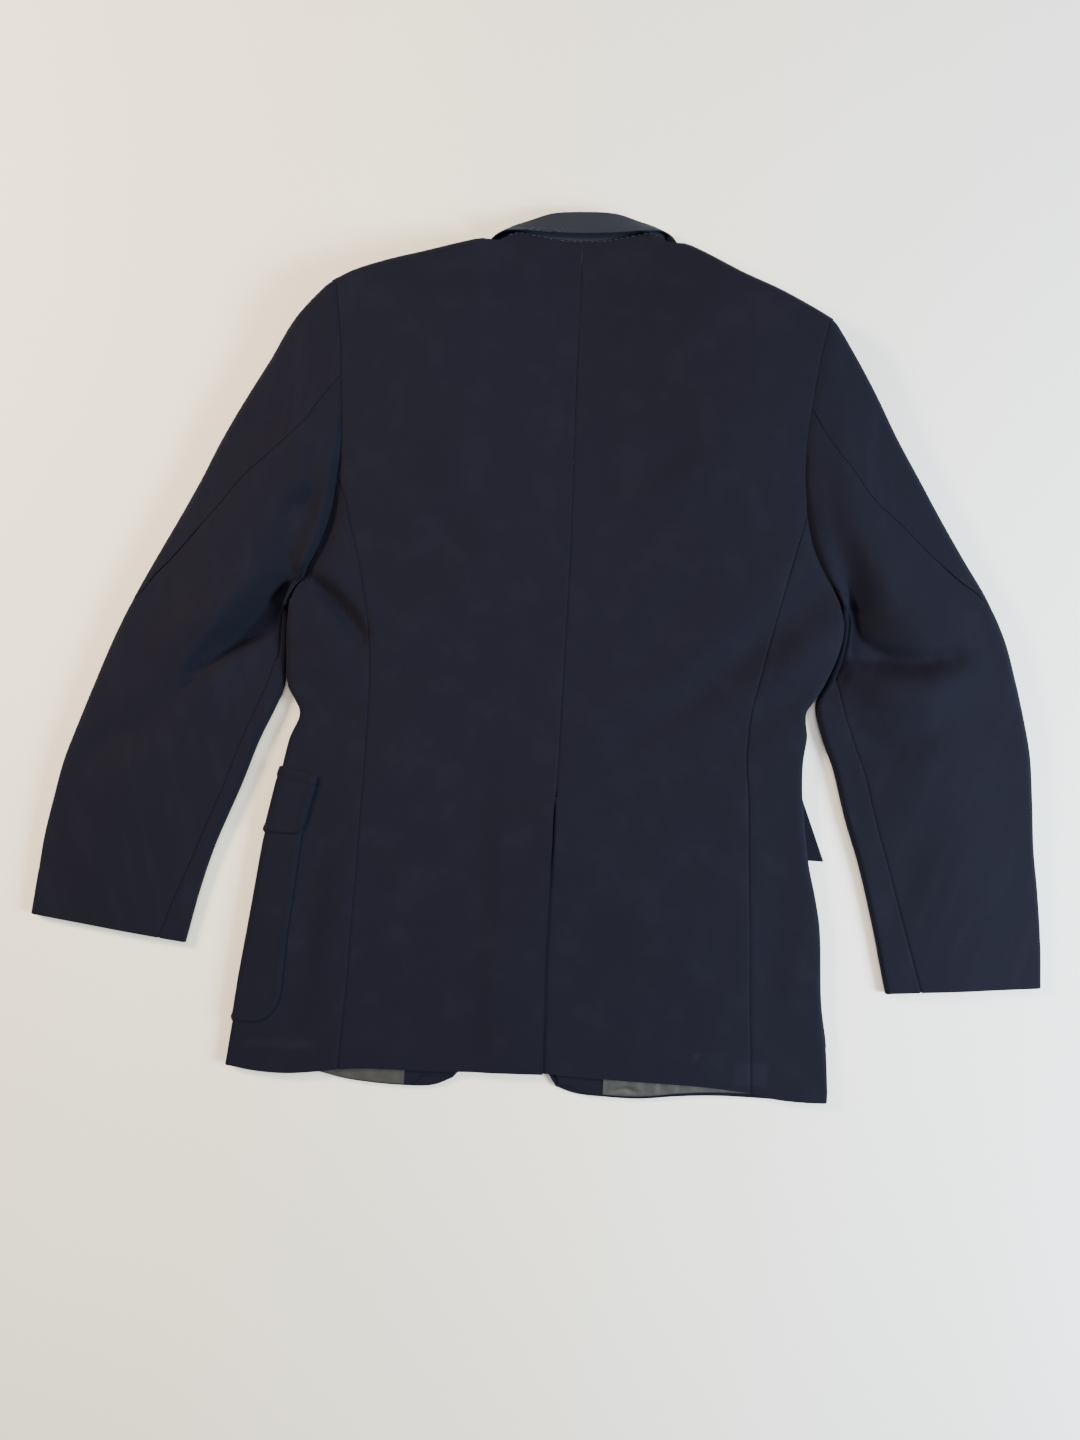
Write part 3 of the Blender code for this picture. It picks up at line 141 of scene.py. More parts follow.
# The armhole on the front, from the shoulder tip down to the underarm.
ARMHOLE_FRONT = {
    Side.LEFT: (
        (0.2203, 0.3822), (0.2060, 0.3400), (0.1960, 0.2850), (0.1955, 0.2250), (0.2080, 0.1600), (0.2420, 0.1200),
        (0.2523, 0.1000),
    ),
    Side.RIGHT: (
        (0.2242, 0.3690), (0.2100, 0.3300), (0.1990, 0.2800), (0.1975, 0.2350), (0.2090, 0.1750), (0.2400, 0.1400),
        (0.2500, 0.1220),
    ),
}

# The shoulder's silhouette from the neck to the tip.
SHOULDER = {
    Side.LEFT: (
        (0.0790, 0.4430), (0.1031, 0.4358), (0.1445, 0.4223), (0.1786, 0.4116), (0.2067, 0.4010), (0.2265, 0.3900),
    ),
    Side.RIGHT: (
        (0.0795, 0.4488), (0.1074, 0.4372), (0.1447, 0.4180), (0.1828, 0.4016), (0.2142, 0.3857), (0.2306, 0.3766),
    ),
}
SHOULDER_ROLL = 0.0100
SHOULDER_TIP_WAY = {Side.LEFT: (0.62, 0.78), Side.RIGHT: (0.66, 0.75)}

# Half of the back neck seam, from the centre to the neck point, before the neck's skew.
NECK_SEAM: Table = ((0.0000, 0.4374), (0.0250, 0.4390), (0.0420, 0.4418), (0.0600, 0.4444), (0.0730, 0.4390))

CENTRE_BACK: Table = (
    (0.0000, -0.3264),
    (0.0000, -0.2000),
    (0.0000, VENT_TOP),
    (0.0010, 0.0380),
    (0.0020, 0.1490),
    (0.0010, 0.2300),
    (0.0000, 0.3390),
    (0.0000, 0.4374),
)

# The hem of the back and sides, and the hem of the fronts that shows below it.
HEM_BACK = {
    Side.LEFT: ((0.0000, -0.3264), (0.0582, -0.3274), (0.1045, -0.3287), (0.1694, -0.3290), (0.1900, -0.3308)),
    Side.RIGHT: ((0.0000, -0.3257), (0.0531, -0.3285), (0.0995, -0.3300), (0.1459, -0.3314), (0.1925, -0.3352)),
}
HEM_SIDE = {
    Side.LEFT: ((0.1900, -0.3308), (0.2150, -0.3345), (0.2391, -0.3367), (0.2673, -0.3356), (0.2900, -0.3320)),
    Side.RIGHT: ((0.1925, -0.3352), (0.2060, -0.3378), (0.2212, -0.3400), (0.2450, -0.3412), (0.2602, -0.3410)),
}
HEM_FRONT = {
    Side.LEFT: (
        (0.2600, -0.3325), (0.2162, -0.3345), (0.1833, -0.3409), (0.1366, -0.3442), (0.1014, -0.3425),
        (0.0840, -0.3350),
    ),
    Side.RIGHT: (
        (0.2300, -0.3380), (0.1653, -0.3380), (0.1282, -0.3407), (0.0913, -0.3452), (0.0600, -0.3454),
        (0.0310, -0.3438), (0.0130, -0.3385),
    ),
}
# The front edge from the middle of the round corner up to the neck, along the line where the lapel turns.
# Here x is positive towards the right side on both fronts.
FRONT_EDGE = {
    Side.LEFT: (
        (-0.0840, -0.3350), (-0.0705, -0.3180), (-0.0625, -0.2850), (-0.0480, -0.2100), (-0.0240, -0.1250),
        (-0.0080, -0.0400), (-0.0060, 0.0150), (-0.0100, 0.0700), (-0.0320, 0.2400), (-0.0745, 0.4305),
    ),
    Side.RIGHT: (
        (0.0130, -0.3385), (0.0020, -0.3200), (-0.0080, -0.2850), (-0.0180, -0.2100), (-0.0290, -0.1250),
        (-0.0380, -0.0400), (-0.0370, 0.0150), (-0.0280, 0.0700), (0.0180, 0.2400), (0.0745, 0.4350),
    ),
}
SIDE_FRONT_INSET = 0.032

# How high the cloth of the back lies, section by section: at the centre back, half way out and at the side.
HEIGHT_COLUMNS = ("y", "centre", "middle", "side")
HEIGHTS: Table = (
    (-0.360, 0.0090, 0.0088, 0.0092),
    (-0.300, 0.0092, 0.0092, 0.0105),
    (-0.200, 0.0098, 0.0102, 0.0120),
    (-0.100, 0.0102, 0.0106, 0.0130),
    (0.000, 0.0104, 0.0112, 0.0140),
    (0.080, 0.0118, 0.0135, 0.0165),
    (0.150, 0.0145, 0.0180, 0.0210),
    (0.220, 0.0180, 0.0235, 0.0275),
    (0.300, 0.0215, 0.0300, 0.0345),
    (0.370, 0.0230, 0.0335, 0.0375),
    (0.440, 0.0205, 0.0290, 0.0360),
    (0.480, 0.0200, 0.0280, 0.0350),
)
HALF_WIDTH = 0.225

# The sleeves: the outline from the shoulder tip and the underarm down to the cuff.
SLEEVE_OUTER = {
    Side.LEFT: (
        (0.2265, 0.3900), (0.2588, 0.3545), (0.2808, 0.3168), (0.3024, 0.2798), (0.3226, 0.2421), (0.3398, 0.2050),
        (0.3589, 0.1677), (0.3791, 0.1299), (0.3983, 0.0924), (0.4150, 0.0547), (0.4293, 0.0171), (0.4430, -0.0204),
        (0.4560, -0.0582), (0.4645, -0.0956), (0.4712, -0.1285), (0.4755, -0.1612), (0.4807, -0.2007),
    ),
    Side.RIGHT: (
        (0.2306, 0.3766), (0.2543, 0.3426), (0.2767, 0.3077), (0.2968, 0.2720), (0.3185, 0.2368), (0.3402, 0.2014),
        (0.3631, 0.1657), (0.3868, 0.1302), (0.4051, 0.0942), (0.4170, 0.0579), (0.4271, 0.0215), (0.4345, -0.0105),
        (0.4390, -0.0521), (0.4430, -0.0983), (0.4485, -0.1353), (0.4540, -0.1816), (0.4570, -0.2251),
    ),
}
SLEEVE_INNER = {
    Side.LEFT: (
        (0.2541, 0.0990), (0.2564, 0.0900), (0.2570, 0.0760), (0.2564, 0.0450), (0.2566, 0.0190), (0.2640, -0.0010),
        (0.2770, -0.0309),
        (0.2915, -0.0726), (0.3145, -0.1331), (0.3283, -0.1822), (0.3370, -0.2209),
    ),
    Side.RIGHT: (
        (0.2518, 0.1210), (0.2568, 0.1120), (0.2588, 0.0980), (0.2562, 0.0760), (0.2452, 0.0480), (0.2362, 0.0260),
        (0.2440, -0.0060), (0.2541, -0.0305), (0.2685, -0.0790), (0.2825, -0.1191), (0.2974, -0.1715),
        (0.3139, -0.2379),
    ),
}
# How high the sleeve lies along its length, at its outer fold, its crown and its inner fold, and how wide its
# folds roll.
SLEEVE_COLUMNS = ("along", "outer", "crown", "inner", "outer_roll", "inner_roll")
SLEEVE: Table = (
    (0.00, 0.0340, 0.0370, 0.0130, 0.0100, 0.0012),
    (0.05, 0.0318, 0.0355, 0.0085, 0.0102, 0.0045),
    (0.10, 0.0290, 0.0325, 0.0062, 0.0102, 0.0060),
    (0.20, 0.0255, 0.0290, 0.0056, 0.0096, 0.0064),
    (0.28, 0.0235, 0.0272, 0.0062, 0.0092, 0.0066),
    (0.36, 0.0212, 0.0256, 0.0085, 0.0088, 0.0064),
    (0.45, 0.0190, 0.0236, 0.0110, 0.0082, 0.0062),
    (0.65, 0.0152, 0.0190, 0.0118, 0.0068, 0.0055),
    (0.85, 0.0120, 0.0146, 0.0102, 0.0055, 0.0048),
    (1.00, 0.0096, 0.0106, 0.0090, 0.0045, 0.0042),
)
# Where the two sleeve seams run: the elbow seam starts on the back of the cap and turns over the outer fold, and
# the forearm seam stays on the back near the inner fold. 0 to 1 is round the outer fold, and 1 to 2 across the back.
SEAM_COLUMNS = ("along", "left_elbow", "left_forearm", "right_elbow", "right_forearm")
SLEEVE_SEAMS: Table = (
    (0.00, 1.277, 1.925, 1.307, 1.938),
    (0.03, 1.300, 1.975, 1.330, 1.980),
    (0.06, 1.315, 1.990, 1.335, 2.000),
    (0.12, 1.270, 2.040, 1.310, 2.050),
    (0.18, 1.195, 2.060, 1.220, 2.080),
    (0.25, 1.112, 2.050, 1.100, 2.100),
    (0.29, 1.066, 2.030, 1.000, 2.090),
    (0.32, 1.028, 2.005, 0.620, 2.060),
    (0.35, 0.960, 1.975, 0.420, 2.030),
    (0.385, 0.560, 1.957, 0.390, 1.988),
    (0.42, 0.400, 1.944, 0.380, 1.942),
    (0.47, 0.380, 1.936, 0.380, 1.897),
    (0.56, 0.380, 1.940, 0.380, 1.872),
    (0.66, 0.380, 1.938, 0.380, 1.863),
    (0.84, 0.380, 1.925, 0.380, 1.849),
    (0.92, 0.380, 1.890, 0.380, 1.828),
    (1.00, 0.380, 1.855, 0.380, 1.795),
)
OUTER_LEAD, INNER_LAG = 0.17, 0.20

# The collar, from the centre back round the neck to its end on the front: the seam at its foot, the line where it
# rolls over and its free edge. The left and right halves are mirrored, before the neck's skew.
COLLAR_COLUMNS = ("foot", "roll", "edge")
COLLAR = (
    ((0.0000, 0.4392, 0.0185), (0.0000, 0.4680, 0.0145), (0.0000, 0.4440, 0.0280)),
    ((0.0300, 0.4414, 0.0190), (0.0290, 0.4664, 0.0145), (0.0330, 0.4450, 0.0280)),
    ((0.0520, 0.4452, 0.0195), (0.0500, 0.4597, 0.0142), (0.0570, 0.4468, 0.0275)),
    ((0.0650, 0.4448, 0.0175), (0.0660, 0.4546, 0.0130), (0.0710, 0.4474, 0.0245)),
    ((0.0705, 0.4416, 0.0115), (0.0772, 0.4482, 0.0110), (0.0825, 0.4448, 0.0155)),
    ((0.0560, 0.4280, 0.0042), (0.0480, 0.4270, 0.0023), (0.0920, 0.4350, 0.0006)),
    ((0.0500, 0.3950, 0.0042), (0.0430, 0.3940, 0.0024), (0.0980, 0.3900, 0.0004)),
    ((0.0440, 0.3640, 0.0042), (0.0370, 0.3640, 0.0024), (0.1040, 0.3580, 0.0004)),
)

LAPEL_TOP = {Side.LEFT: 0.356, Side.RIGHT: 0.360}
LAPEL_BREAK = {Side.LEFT: 0.030, Side.RIGHT: 0.150}

# The rear edges of the left pocket and its flap, on the back of the side fold.
POCKET_REAR: Table = ((0.2210, -0.064), (0.2330, -0.117), (0.2419, -0.205), (0.2475, -0.2905))
FLAP_REAR: Table = ((0.2207, -0.0545), (0.2225, -0.068), (0.2320, -0.110), (0.2335, -0.1150))
# The right flap's free rear edge: the share of the way down, and how far out it lies there.
FLAP_FREE: Table = ((0.0, 0.2235), (0.06, 0.2275), (1.0, 0.2512))

FACING_INNER = {Side.LEFT: -0.128, Side.RIGHT: 0.056}
LINING_OUTER = {Side.LEFT: -0.235, Side.RIGHT: 0.225}
HEM_STRIP_TOP = -0.290
HEM_MARGIN = 0.0015


@dataclass(frozen=True)
class Fold:
    """One soft ridge or trough along a bent line. Here x is positive to the right.

    path is the line, half_width how far it reaches, rise its height (below 0 for a trough) and lean, from -1 to 1,
    how much steeper its left flank is than its right one."""

    path: Table
    half_width: float
    rise: float
    lean: float = 0.0

    def height(self, x: np.ndarray, y: np.ndarray) -> np.ndarray:
        """How much the fold raises the cloth at plan points."""
        line = path_of(self.path)
        way = unit(np.gradient(line, axis=0))
        share = lengths_along(line)
        points = np.stack([np.ravel(x), np.ravel(y)], 1)
        apart = points[:, None] - line[None]
        squared = (apart**2).sum(2)
        near = squared.argmin(1)
        picked = np.arange(len(points))
        offset = apart[picked, near]
        to_left = way[near, 0] * offset[:, 1] - way[near, 1] * offset[:, 0]
        width = self.half_width * np.where(to_left > 0, 1 - 0.5 * self.lean, 1 + 0.5 * self.lean)
        fade = 0.45 + 0.55 * np.sin(np.pi * np.clip(share[near], 0, 1))
        value = self.rise * fade * np.exp(-squared[picked, near] / width**2)
        return value.reshape(np.shape(x))


@dataclass(frozen=True)
class Relief:
    """A low ridge beside an edge, or a groove where rise is below 0.

    width is how far it reaches, and inset how far from the edge its middle lies."""

    rise: float
    width: float
    inset: float = 0.0

    def at(self, distance: np.ndarray) -> np.ndarray:
        """How much it raises the cloth at a distance from the edge."""
        return self.rise * np.exp(-(((distance - self.inset) / self.width) ** 2))


@dataclass(frozen=True)
class Backing:
    """What is pressed open or turned up behind the cloth: the step that it makes, and where the step runs out."""

    step: float
    start: float
    end: float

    def at(self, distance: np.ndarray) -> np.ndarray:
        """How much it raises the cloth at a distance from the edge."""
        return self.step * (1 - smooth(distance, self.start, self.end))


CENTRE_DITCH = Relief(-0.0006, 0.0011)
SEAM_DITCH = Relief(-0.0007, 0.0012)
ARM_DITCH = Relief(-0.0010, 0.0014)
SLEEVE_DITCH = Relief(-0.0006, 0.0011)
CAP_DITCH = Relief(-0.00084, 0.0016)
CENTRE_ALLOWANCE = Backing(0.00010, 0.010, 0.016)
SEAM_ALLOWANCE = Backing(0.00012, 0.010, 0.016)
HEM_TURNING = Backing(0.00022, 0.036, 0.042)
# How proud of the body each sleeve stands near the underarm.
CAP_RISE = {Side.LEFT: 0.0050, Side.RIGHT: 0.0014}

SLEEVE_FOLDS = (
    Fold(((-0.250, 0.137), (-0.285, 0.108), (-0.320, 0.081), (-0.356, 0.052)), 0.020, 0.0074),
    Fold(((-0.250, 0.116), (-0.263, 0.101), (-0.284, 0.079), (-0.310, 0.054), (-0.336, 0.027)), 0.0110, -0.0170,
         -0.55),
    Fold(((-0.269, 0.063), (-0.296, 0.050), (-0.320, 0.029), (-0.335, 0.005)), 0.010, 0.0040),
    Fold(((-0.345, 0.006), (-0.384, -0.025), (-0.425, -0.047), (-0.451, -0.064)), 0.019, -0.0046),
    Fold(((-0.344, -0.010), (-0.379, -0.040), (-0.410, -0.069)), 0.018, 0.0018),
    Fold(((-0.255, 0.179), (-0.238, 0.188), (-0.222, 0.196)), 0.009, -0.0034),
    Fold(((-0.265, 0.190), (-0.240, 0.202), (-0.222, 0.212)), 0.012, 0.0014),
    Fold(((-0.253, 0.262), (-0.236, 0.265), (-0.220, 0.268)), 0.007, -0.0026),
    Fold(((-0.318, 0.252), (-0.293, 0.260), (-0.262, 0.266)), 0.013, -0.0036),
    Fold(((-0.300, 0.215), (-0.275, 0.230), (-0.245, 0.240)), 0.018, 0.0016),
    Fold(((-0.300, 0.180), (-0.330, 0.130), (-0.365, 0.080)), 0.030, 0.0016),
    Fold(((-0.420, -0.110), (-0.385, -0.130), (-0.350, -0.150)), 0.022, -0.0014),
    Fold(((0.2600, 0.116), (0.2620, 0.106), (0.2650, 0.093), (0.275, 0.0810), (0.295, 0.0740), (0.323, 0.071),
          (0.354, 0.077)), 0.0100, -0.0150, 0.5),
    Fold(((0.262, 0.057), (0.297, 0.042), (0.333, 0.039), (0.355, 0.055)), 0.018, 0.0080),
    Fold(((0.275, 0.003), (0.303, -0.010), (0.331, -0.006)), 0.013, -0.0040),
    Fold(((0.330, 0.014), (0.376, 0.010), (0.423, -0.006)), 0.016, -0.0018),
    Fold(((0.232, 0.206), (0.255, 0.180), (0.275, 0.150), (0.292, 0.108)), 0.020, 0.0050),
    Fold(((0.262, 0.214), (0.299, 0.176), (0.326, 0.134)), 0.018, -0.0014),
    Fold(((0.345, 0.110), (0.370, 0.080), (0.395, 0.040)), 0.022, 0.0014),
    Fold(((0.360, -0.060), (0.330, -0.100), (0.320, -0.150)), 0.024, -0.0014),
)
BODY_FOLDS = (
    Fold(((-0.250, 0.124), (-0.226, 0.113), (-0.206, 0.096), (-0.185, 0.070)), 0.0070, -0.0115, 0.3),
    Fold(((-0.229, 0.136), (-0.201, 0.114), (-0.178, 0.088)), 0.012, 0.0036),
    Fold(((-0.238, 0.090), (-0.222, 0.066), (-0.210, 0.020)), 0.020, 0.0030),
    Fold(((-0.2115, 0.224), (-0.2165, 0.184), (-0.2255, 0.153), (-0.239, 0.125)), 0.0075, -0.0060),
    Fold(((0.2155, 0.202), (0.224, 0.170), (0.235, 0.149), (0.247, 0.132)), 0.0055, -0.0034),
    Fold(((-0.230, 0.045), (-0.214, 0.010), (-0.200, -0.040)), 0.014, -0.0014),
    Fold(((0.239, 0.131), (0.211, 0.109), (0.175, 0.078), (0.140, 0.044), (0.065, -0.014)), 0.016, -0.0052),
    Fold(((0.250, 0.100), (0.228, 0.078), (0.195, 0.047)), 0.018, 0.0058),
    Fold(((0.232, 0.050), (0.205, 0.022), (0.170, 0.000)), 0.014, -0.0026),
    Fold(((-0.214, -0.090), (-0.222, -0.180), (-0.236, -0.290)), 0.016, -0.0026),
    Fold(((-0.196, -0.100), (-0.200, -0.190), (-0.208, -0.280)), 0.013, 0.0010),
    Fold(((0.216, -0.080), (0.206, -0.180), (0.212, -0.280)), 0.018, -0.0016),
    Fold(((0.110, 0.250), (0.086, 0.242), (0.062, 0.238)), 0.014, -0.0020),
    Fold(((0.100, 0.222), (0.080, 0.212), (0.050, 0.206)), 0.016, 0.0016),
    Fold(((0.165, 0.300), (0.120, 0.240), (0.080, 0.190)), 0.030, 0.0020),
    Fold(((0.215, 0.170), (0.150, 0.085), (0.090, 0.010)), 0.034, 0.0018),
    Fold(((-0.120, 0.300), (-0.090, 0.240), (-0.060, 0.180)), 0.040, 0.0018),
    Fold(((-0.190, 0.050), (-0.120, -0.010), (-0.050, -0.060)), 0.040, -0.0014),
    Fold(((0.010, 0.380), (-0.020, 0.300), (-0.012, 0.220)), 0.040, -0.0014),
    Fold(((-0.050, 0.180), (-0.100, 0.110), (-0.160, 0.060)), 0.030, 0.0012),
    Fold(((0.020, -0.120), (0.080, -0.180), (0.150, -0.230)), 0.034, 0.0010),
)
# The gape at the top of the vent: the right back sinks beside the left back's edge.
VENT_MOUND = Fold(((0.0, -0.060), (0.0, -0.100), (0.0, -0.150)), 0.034, 0.0026)
VENT_SINK = 0.0016
# A small pleat in the right lining, by the hem.
LINING_PLEAT = Fold(((0.066, -0.3405), (0.077, -0.3380), (0.088, -0.3402)), 0.0018, -0.0012)
# How far the vent's two edges lie from the centre back line: the left back's edge, and the crease where the right
# back turns into its underlap.
VENT_COLUMNS = ("y", "left", "right")
VENT_EDGES: Table = (
    (-0.3300, 0.0000, 0.0002),
    (-0.2250, -0.0027, 0.0006),
    (-0.1790, -0.0026, 0.0006),
    (-0.1420, -0.0018, 0.0014),
    (-0.1260, -0.0016, 0.0036),
    (-0.1100, -0.0014, 0.0054),
    (-0.0870, -0.0018, 0.0048),
    (-0.0780, -0.0014, 0.0024),
    (-0.0690, -0.0003, 0.0004),
    (-0.0600, 0.0000, 0.0000),
    (0.4400, 0.0000, 0.0000),
)

# Slow unevenness of the whole cloth, each row a wave: its length, its direction in degrees, its phase and height.
WAVES: Table = (
    (0.171, 17.0, 0.3, 0.00030),
    (0.123, 71.0, 2.1, 0.00026),
    (0.097, 128.0, 4.0, 0.00022),
    (0.067, 43.0, 1.2, 0.00014),
    (0.053, 160.0, 5.1, 0.00011),
    (0.041, 95.0, 3.3, 0.00008),
)

# Marks that an iron has left on the cloth, paler than the rest: the middle's x and y, half the width, half the
# length and the strength.
PRESS_MARKS: Table = (
    (0.1920, -0.3171, 0.0150, 0.0100, 0.50),
    (-0.2450, -0.3106, 0.0330, 0.0034, 0.35),
    (-0.3724, -0.1918, 0.0007, 0.0007, 1.00),
    (0.1415, -0.3038, 0.0016, 0.0005, 1.00),
)


def unit(ways: np.ndarray) -> np.ndarray:
    """Directions at length 1."""
    return ways / np.linalg.norm(ways, axis=-1)[..., None]


def column(columns: Sequence[str], table: Table, name: str) -> np.ndarray:
    """One named column of a table, as an array."""
    return np.array([row[columns.index(name)] for row in table], float)


def spline(points: Table, closeness: int = 24) -> np.ndarray:
    """Points close together on a smooth curve.

    Args:
        points: the points that the curve runs through.
        closeness: how many points each stretch gets.

    Returns:
        The curve's points, one row each.
    """
    points = np.asarray(points, float)
    steps = np.sqrt(np.linalg.norm(np.diff(points, axis=0), axis=1)) + 1e-9
    knots = np.concatenate([[0.0], np.cumsum(steps)])
    slopes = np.gradient(points, knots, axis=0)
    found = []
    for i, step in enumerate(steps):
        f = np.linspace(0, 1, closeness, endpoint=False)[:, None]
        rise = (3 * f**2 - 2 * f**3) * (points[i + 1] - points[i])
        bend = f * (1 - f) ** 2 * step * slopes[i] - f**2 * (1 - f) * step * slopes[i + 1]
        found.append(points[i] + rise + bend)
    return np.concatenate(found + [points[-1:]])


@lru_cache(maxsize=None)
def path_of(points: Table) -> np.ndarray:
    """The dense line through a fold's points, worked out once."""
    return spline(points, 10)


def lengths_along(line: np.ndarray) -> np.ndarray:
    """How far along a line each of its points lies, as a share of its length."""
    along = np.concatenate([[0.0], np.cumsum(np.linalg.norm(np.diff(line, axis=0), axis=1))])
    return along / along[-1]


def at_shares(line: np.ndarray, shares: np.ndarray, carried: Optional[np.ndarray] = None) -> np.ndarray:
    """Points at the given shares of a dense line's length, or what is carried along with the line there."""
    along = lengths_along(line)
    values = line if carried is None else carried
    return np.stack([np.interp(shares, along, values[:, k]) for k in range(values.shape[1])], 1)


def beside_line(line: np.ndarray, distance: float, shares: np.ndarray) -> np.ndarray:
    """Points at shares of a dense plan line's length, moved to its left by a distance."""
    way = at_shares(line, shares, unit(np.gradient(line, axis=0)))
    return at_shares(line, shares) + distance * np.stack([-way[:, 1], way[:, 0]], 1)


def x_at(line: np.ndarray, y: np.ndarray) -> np.ndarray:
    """Where a line that runs upwards lies at some levels."""
    return np.interp(y, line[:, 1], line[:, 0])


def between(first: np.ndarray, last: np.ndarray, count: int) -> np.ndarray:
    """Plan points in rows that run from one line to the other, count to a row."""
    shares = np.linspace(0, 1, count)[None, :, None]
    return first[:, None] * (1 - shares) + last[:, None] * shares


def smooth(t: np.ndarray, low: float, high: float) -> np.ndarray:
    """0 below low, 1 above high and a smooth step between."""
    f = np.clip((np.asarray(t, float) - low) / (high - low), 0, 1)
    return f * f * (3 - 2 * f)


@lru_cache(maxsize=None)
def column_line(columns: Sequence[str], table: Table, name: str) -> np.ndarray:
    """The smooth curve of a table's column over its first column, worked out once."""
    return spline(np.stack([column(columns, table, columns[0]), column(columns, table, name)], 1))


def curve_of(columns: Sequence[str], table: Table, name: str, at: np.ndarray) -> np.ndarray:
    """A table's column read as a smooth function of its first column."""
    line = column_line(columns, table, name)
    return np.interp(at, line[:, 0], line[:, 1])


def across(low: np.ndarray, middle: np.ndarray, high: np.ndarray, share: np.ndarray) -> np.ndarray:
    """A soft crown: low at share 0, middle half way and high at share 1, level at both ends."""
    first = np.sin(np.pi * share / 2) ** 2
    return low + (high - low) * first + (middle - (low + high) / 2) * np.sin(np.pi * share) ** 2


def closer_at_ends(count: int, closeness: float = 0.72) -> np.ndarray:
    """count + 1 shares from 0 to 1 that lie closer together towards both ends."""
    t = np.linspace(0, 1, count + 1)
    return t - closeness * np.sin(2 * np.pi * t) / (2 * np.pi)


def waviness(x: np.ndarray, y: np.ndarray) -> np.ndarray:
    """The cloth's slow unevenness at plan points."""
    total = np.zeros(np.shape(x))
    for length, direction, phase, height in WAVES:
        turn = math.radians(direction)
        run = x * math.cos(turn) + y * math.sin(turn)
        total = total + height * np.sin(2 * np.pi * run / length + phase)
    return total


def kept_above(value: np.ndarray, least: float, blend: float = 0.0012) -> np.ndarray:
    """Values that level off softly at the least one."""
    over = value - least
    return least + (over + np.sqrt(over**2 + blend**2)) / 2


def press_marks(x: np.ndarray, y: np.ndarray) -> np.ndarray:
    """How strongly the cloth is marked at plan points, from 0 to 1."""
    total = np.zeros(np.shape(x))
    for middle_x, middle_y, half_x, half_y, strength in PRESS_MARKS:
        apart = np.maximum(np.abs(x - middle_x) / half_x, np.abs(y - middle_y) / half_y)
        total = np.maximum(total, strength * (1 - smooth(apart, 0.85, 1.15)))
    return total


def folds_at(folds: Sequence[Fold], x: np.ndarray, y: np.ndarray) -> np.ndarray:
    """The sum of some folds at plan points."""
    total = np.zeros(np.shape(x))
    for fold in folds:
        total = total + fold.height(x, y)
    return total


def back_height(x: np.ndarray, y: np.ndarray) -> np.ndarray:
    """The outer face of the back and sides over a plan point."""
    share = np.clip(np.abs(x) / HALF_WIDTH, 0, 1)
    parts = [curve_of(HEIGHT_COLUMNS, HEIGHTS, name, y) for name in HEIGHT_COLUMNS[1:]]
    calm = smooth(y, -0.345, -0.300)
    return across(*parts, share) + folds_at(BODY_FOLDS, x, y) + calm * waviness(x, y)


def vent_lift(x: np.ndarray, y: np.ndarray) -> np.ndarray:
    """How much the left back is raised where it lies on the vent's underlap."""
    lap = smooth(-y, -VENT_TOP - 0.004, -VENT_TOP + 0.020) * smooth(x, -0.070, -0.044)
    return UNDERLAP_LIFT * lap + VENT_MOUND.height(x, y)


def vent_edge(side: Side, y: np.ndarray) -> np.ndarray:
    """How far one half's edge at the vent lies from the centre back line, counted to the right."""
    rows = np.array(VENT_EDGES)
    return np.interp(y, rows[:, 0], rows[:, VENT_COLUMNS.index(side.value)])


def overlap_lift(x: np.ndarray, y: np.ndarray) -> np.ndarray:
    """How much the right front is raised where it lies on the left front."""
    near = x_at(spline(FRONT_EDGE[Side.LEFT]), y)
    return OVERLAP_LIFT * smooth(near + 0.060 - x, 0.0, 0.020) * smooth(y, -0.270, -0.215)


def coons(foot: np.ndarray, top: np.ndarray, inner: np.ndarray, outer: np.ndarray, u: np.ndarray,
          v: np.ndarray) -> np.ndarray:
    """A patch between four plan lines.

    Args:
        foot: the lower line, across.
        top: the upper line, across.
        inner: the first line up.
        outer: the last line up.
        u: the shares across at which foot and top are given.
        v: the shares up at which inner and outer are given.

    Returns:
        The plan points, row by row from the foot.
    """
    corners = inner[0], outer[0], inner[-1], outer[-1]
    u = u[:, None]
    foot = foot + (1 - u) * (corners[0] - foot[0]) + u * (corners[1] - foot[-1])
    top = top + (1 - u) * (corners[2] - top[0]) + u * (corners[3] - top[-1])
    v = v[:, None, None]
    u = u[None]
    ruled = (1 - v) * foot[None] + v * top[None] + (1 - u) * inner[:, None] + u * outer[:, None]
    flat = (1 - v) * ((1 - u) * corners[0] + u * corners[1]) + v * ((1 - u) * corners[2] + u * corners[3])
    return ruled - flat


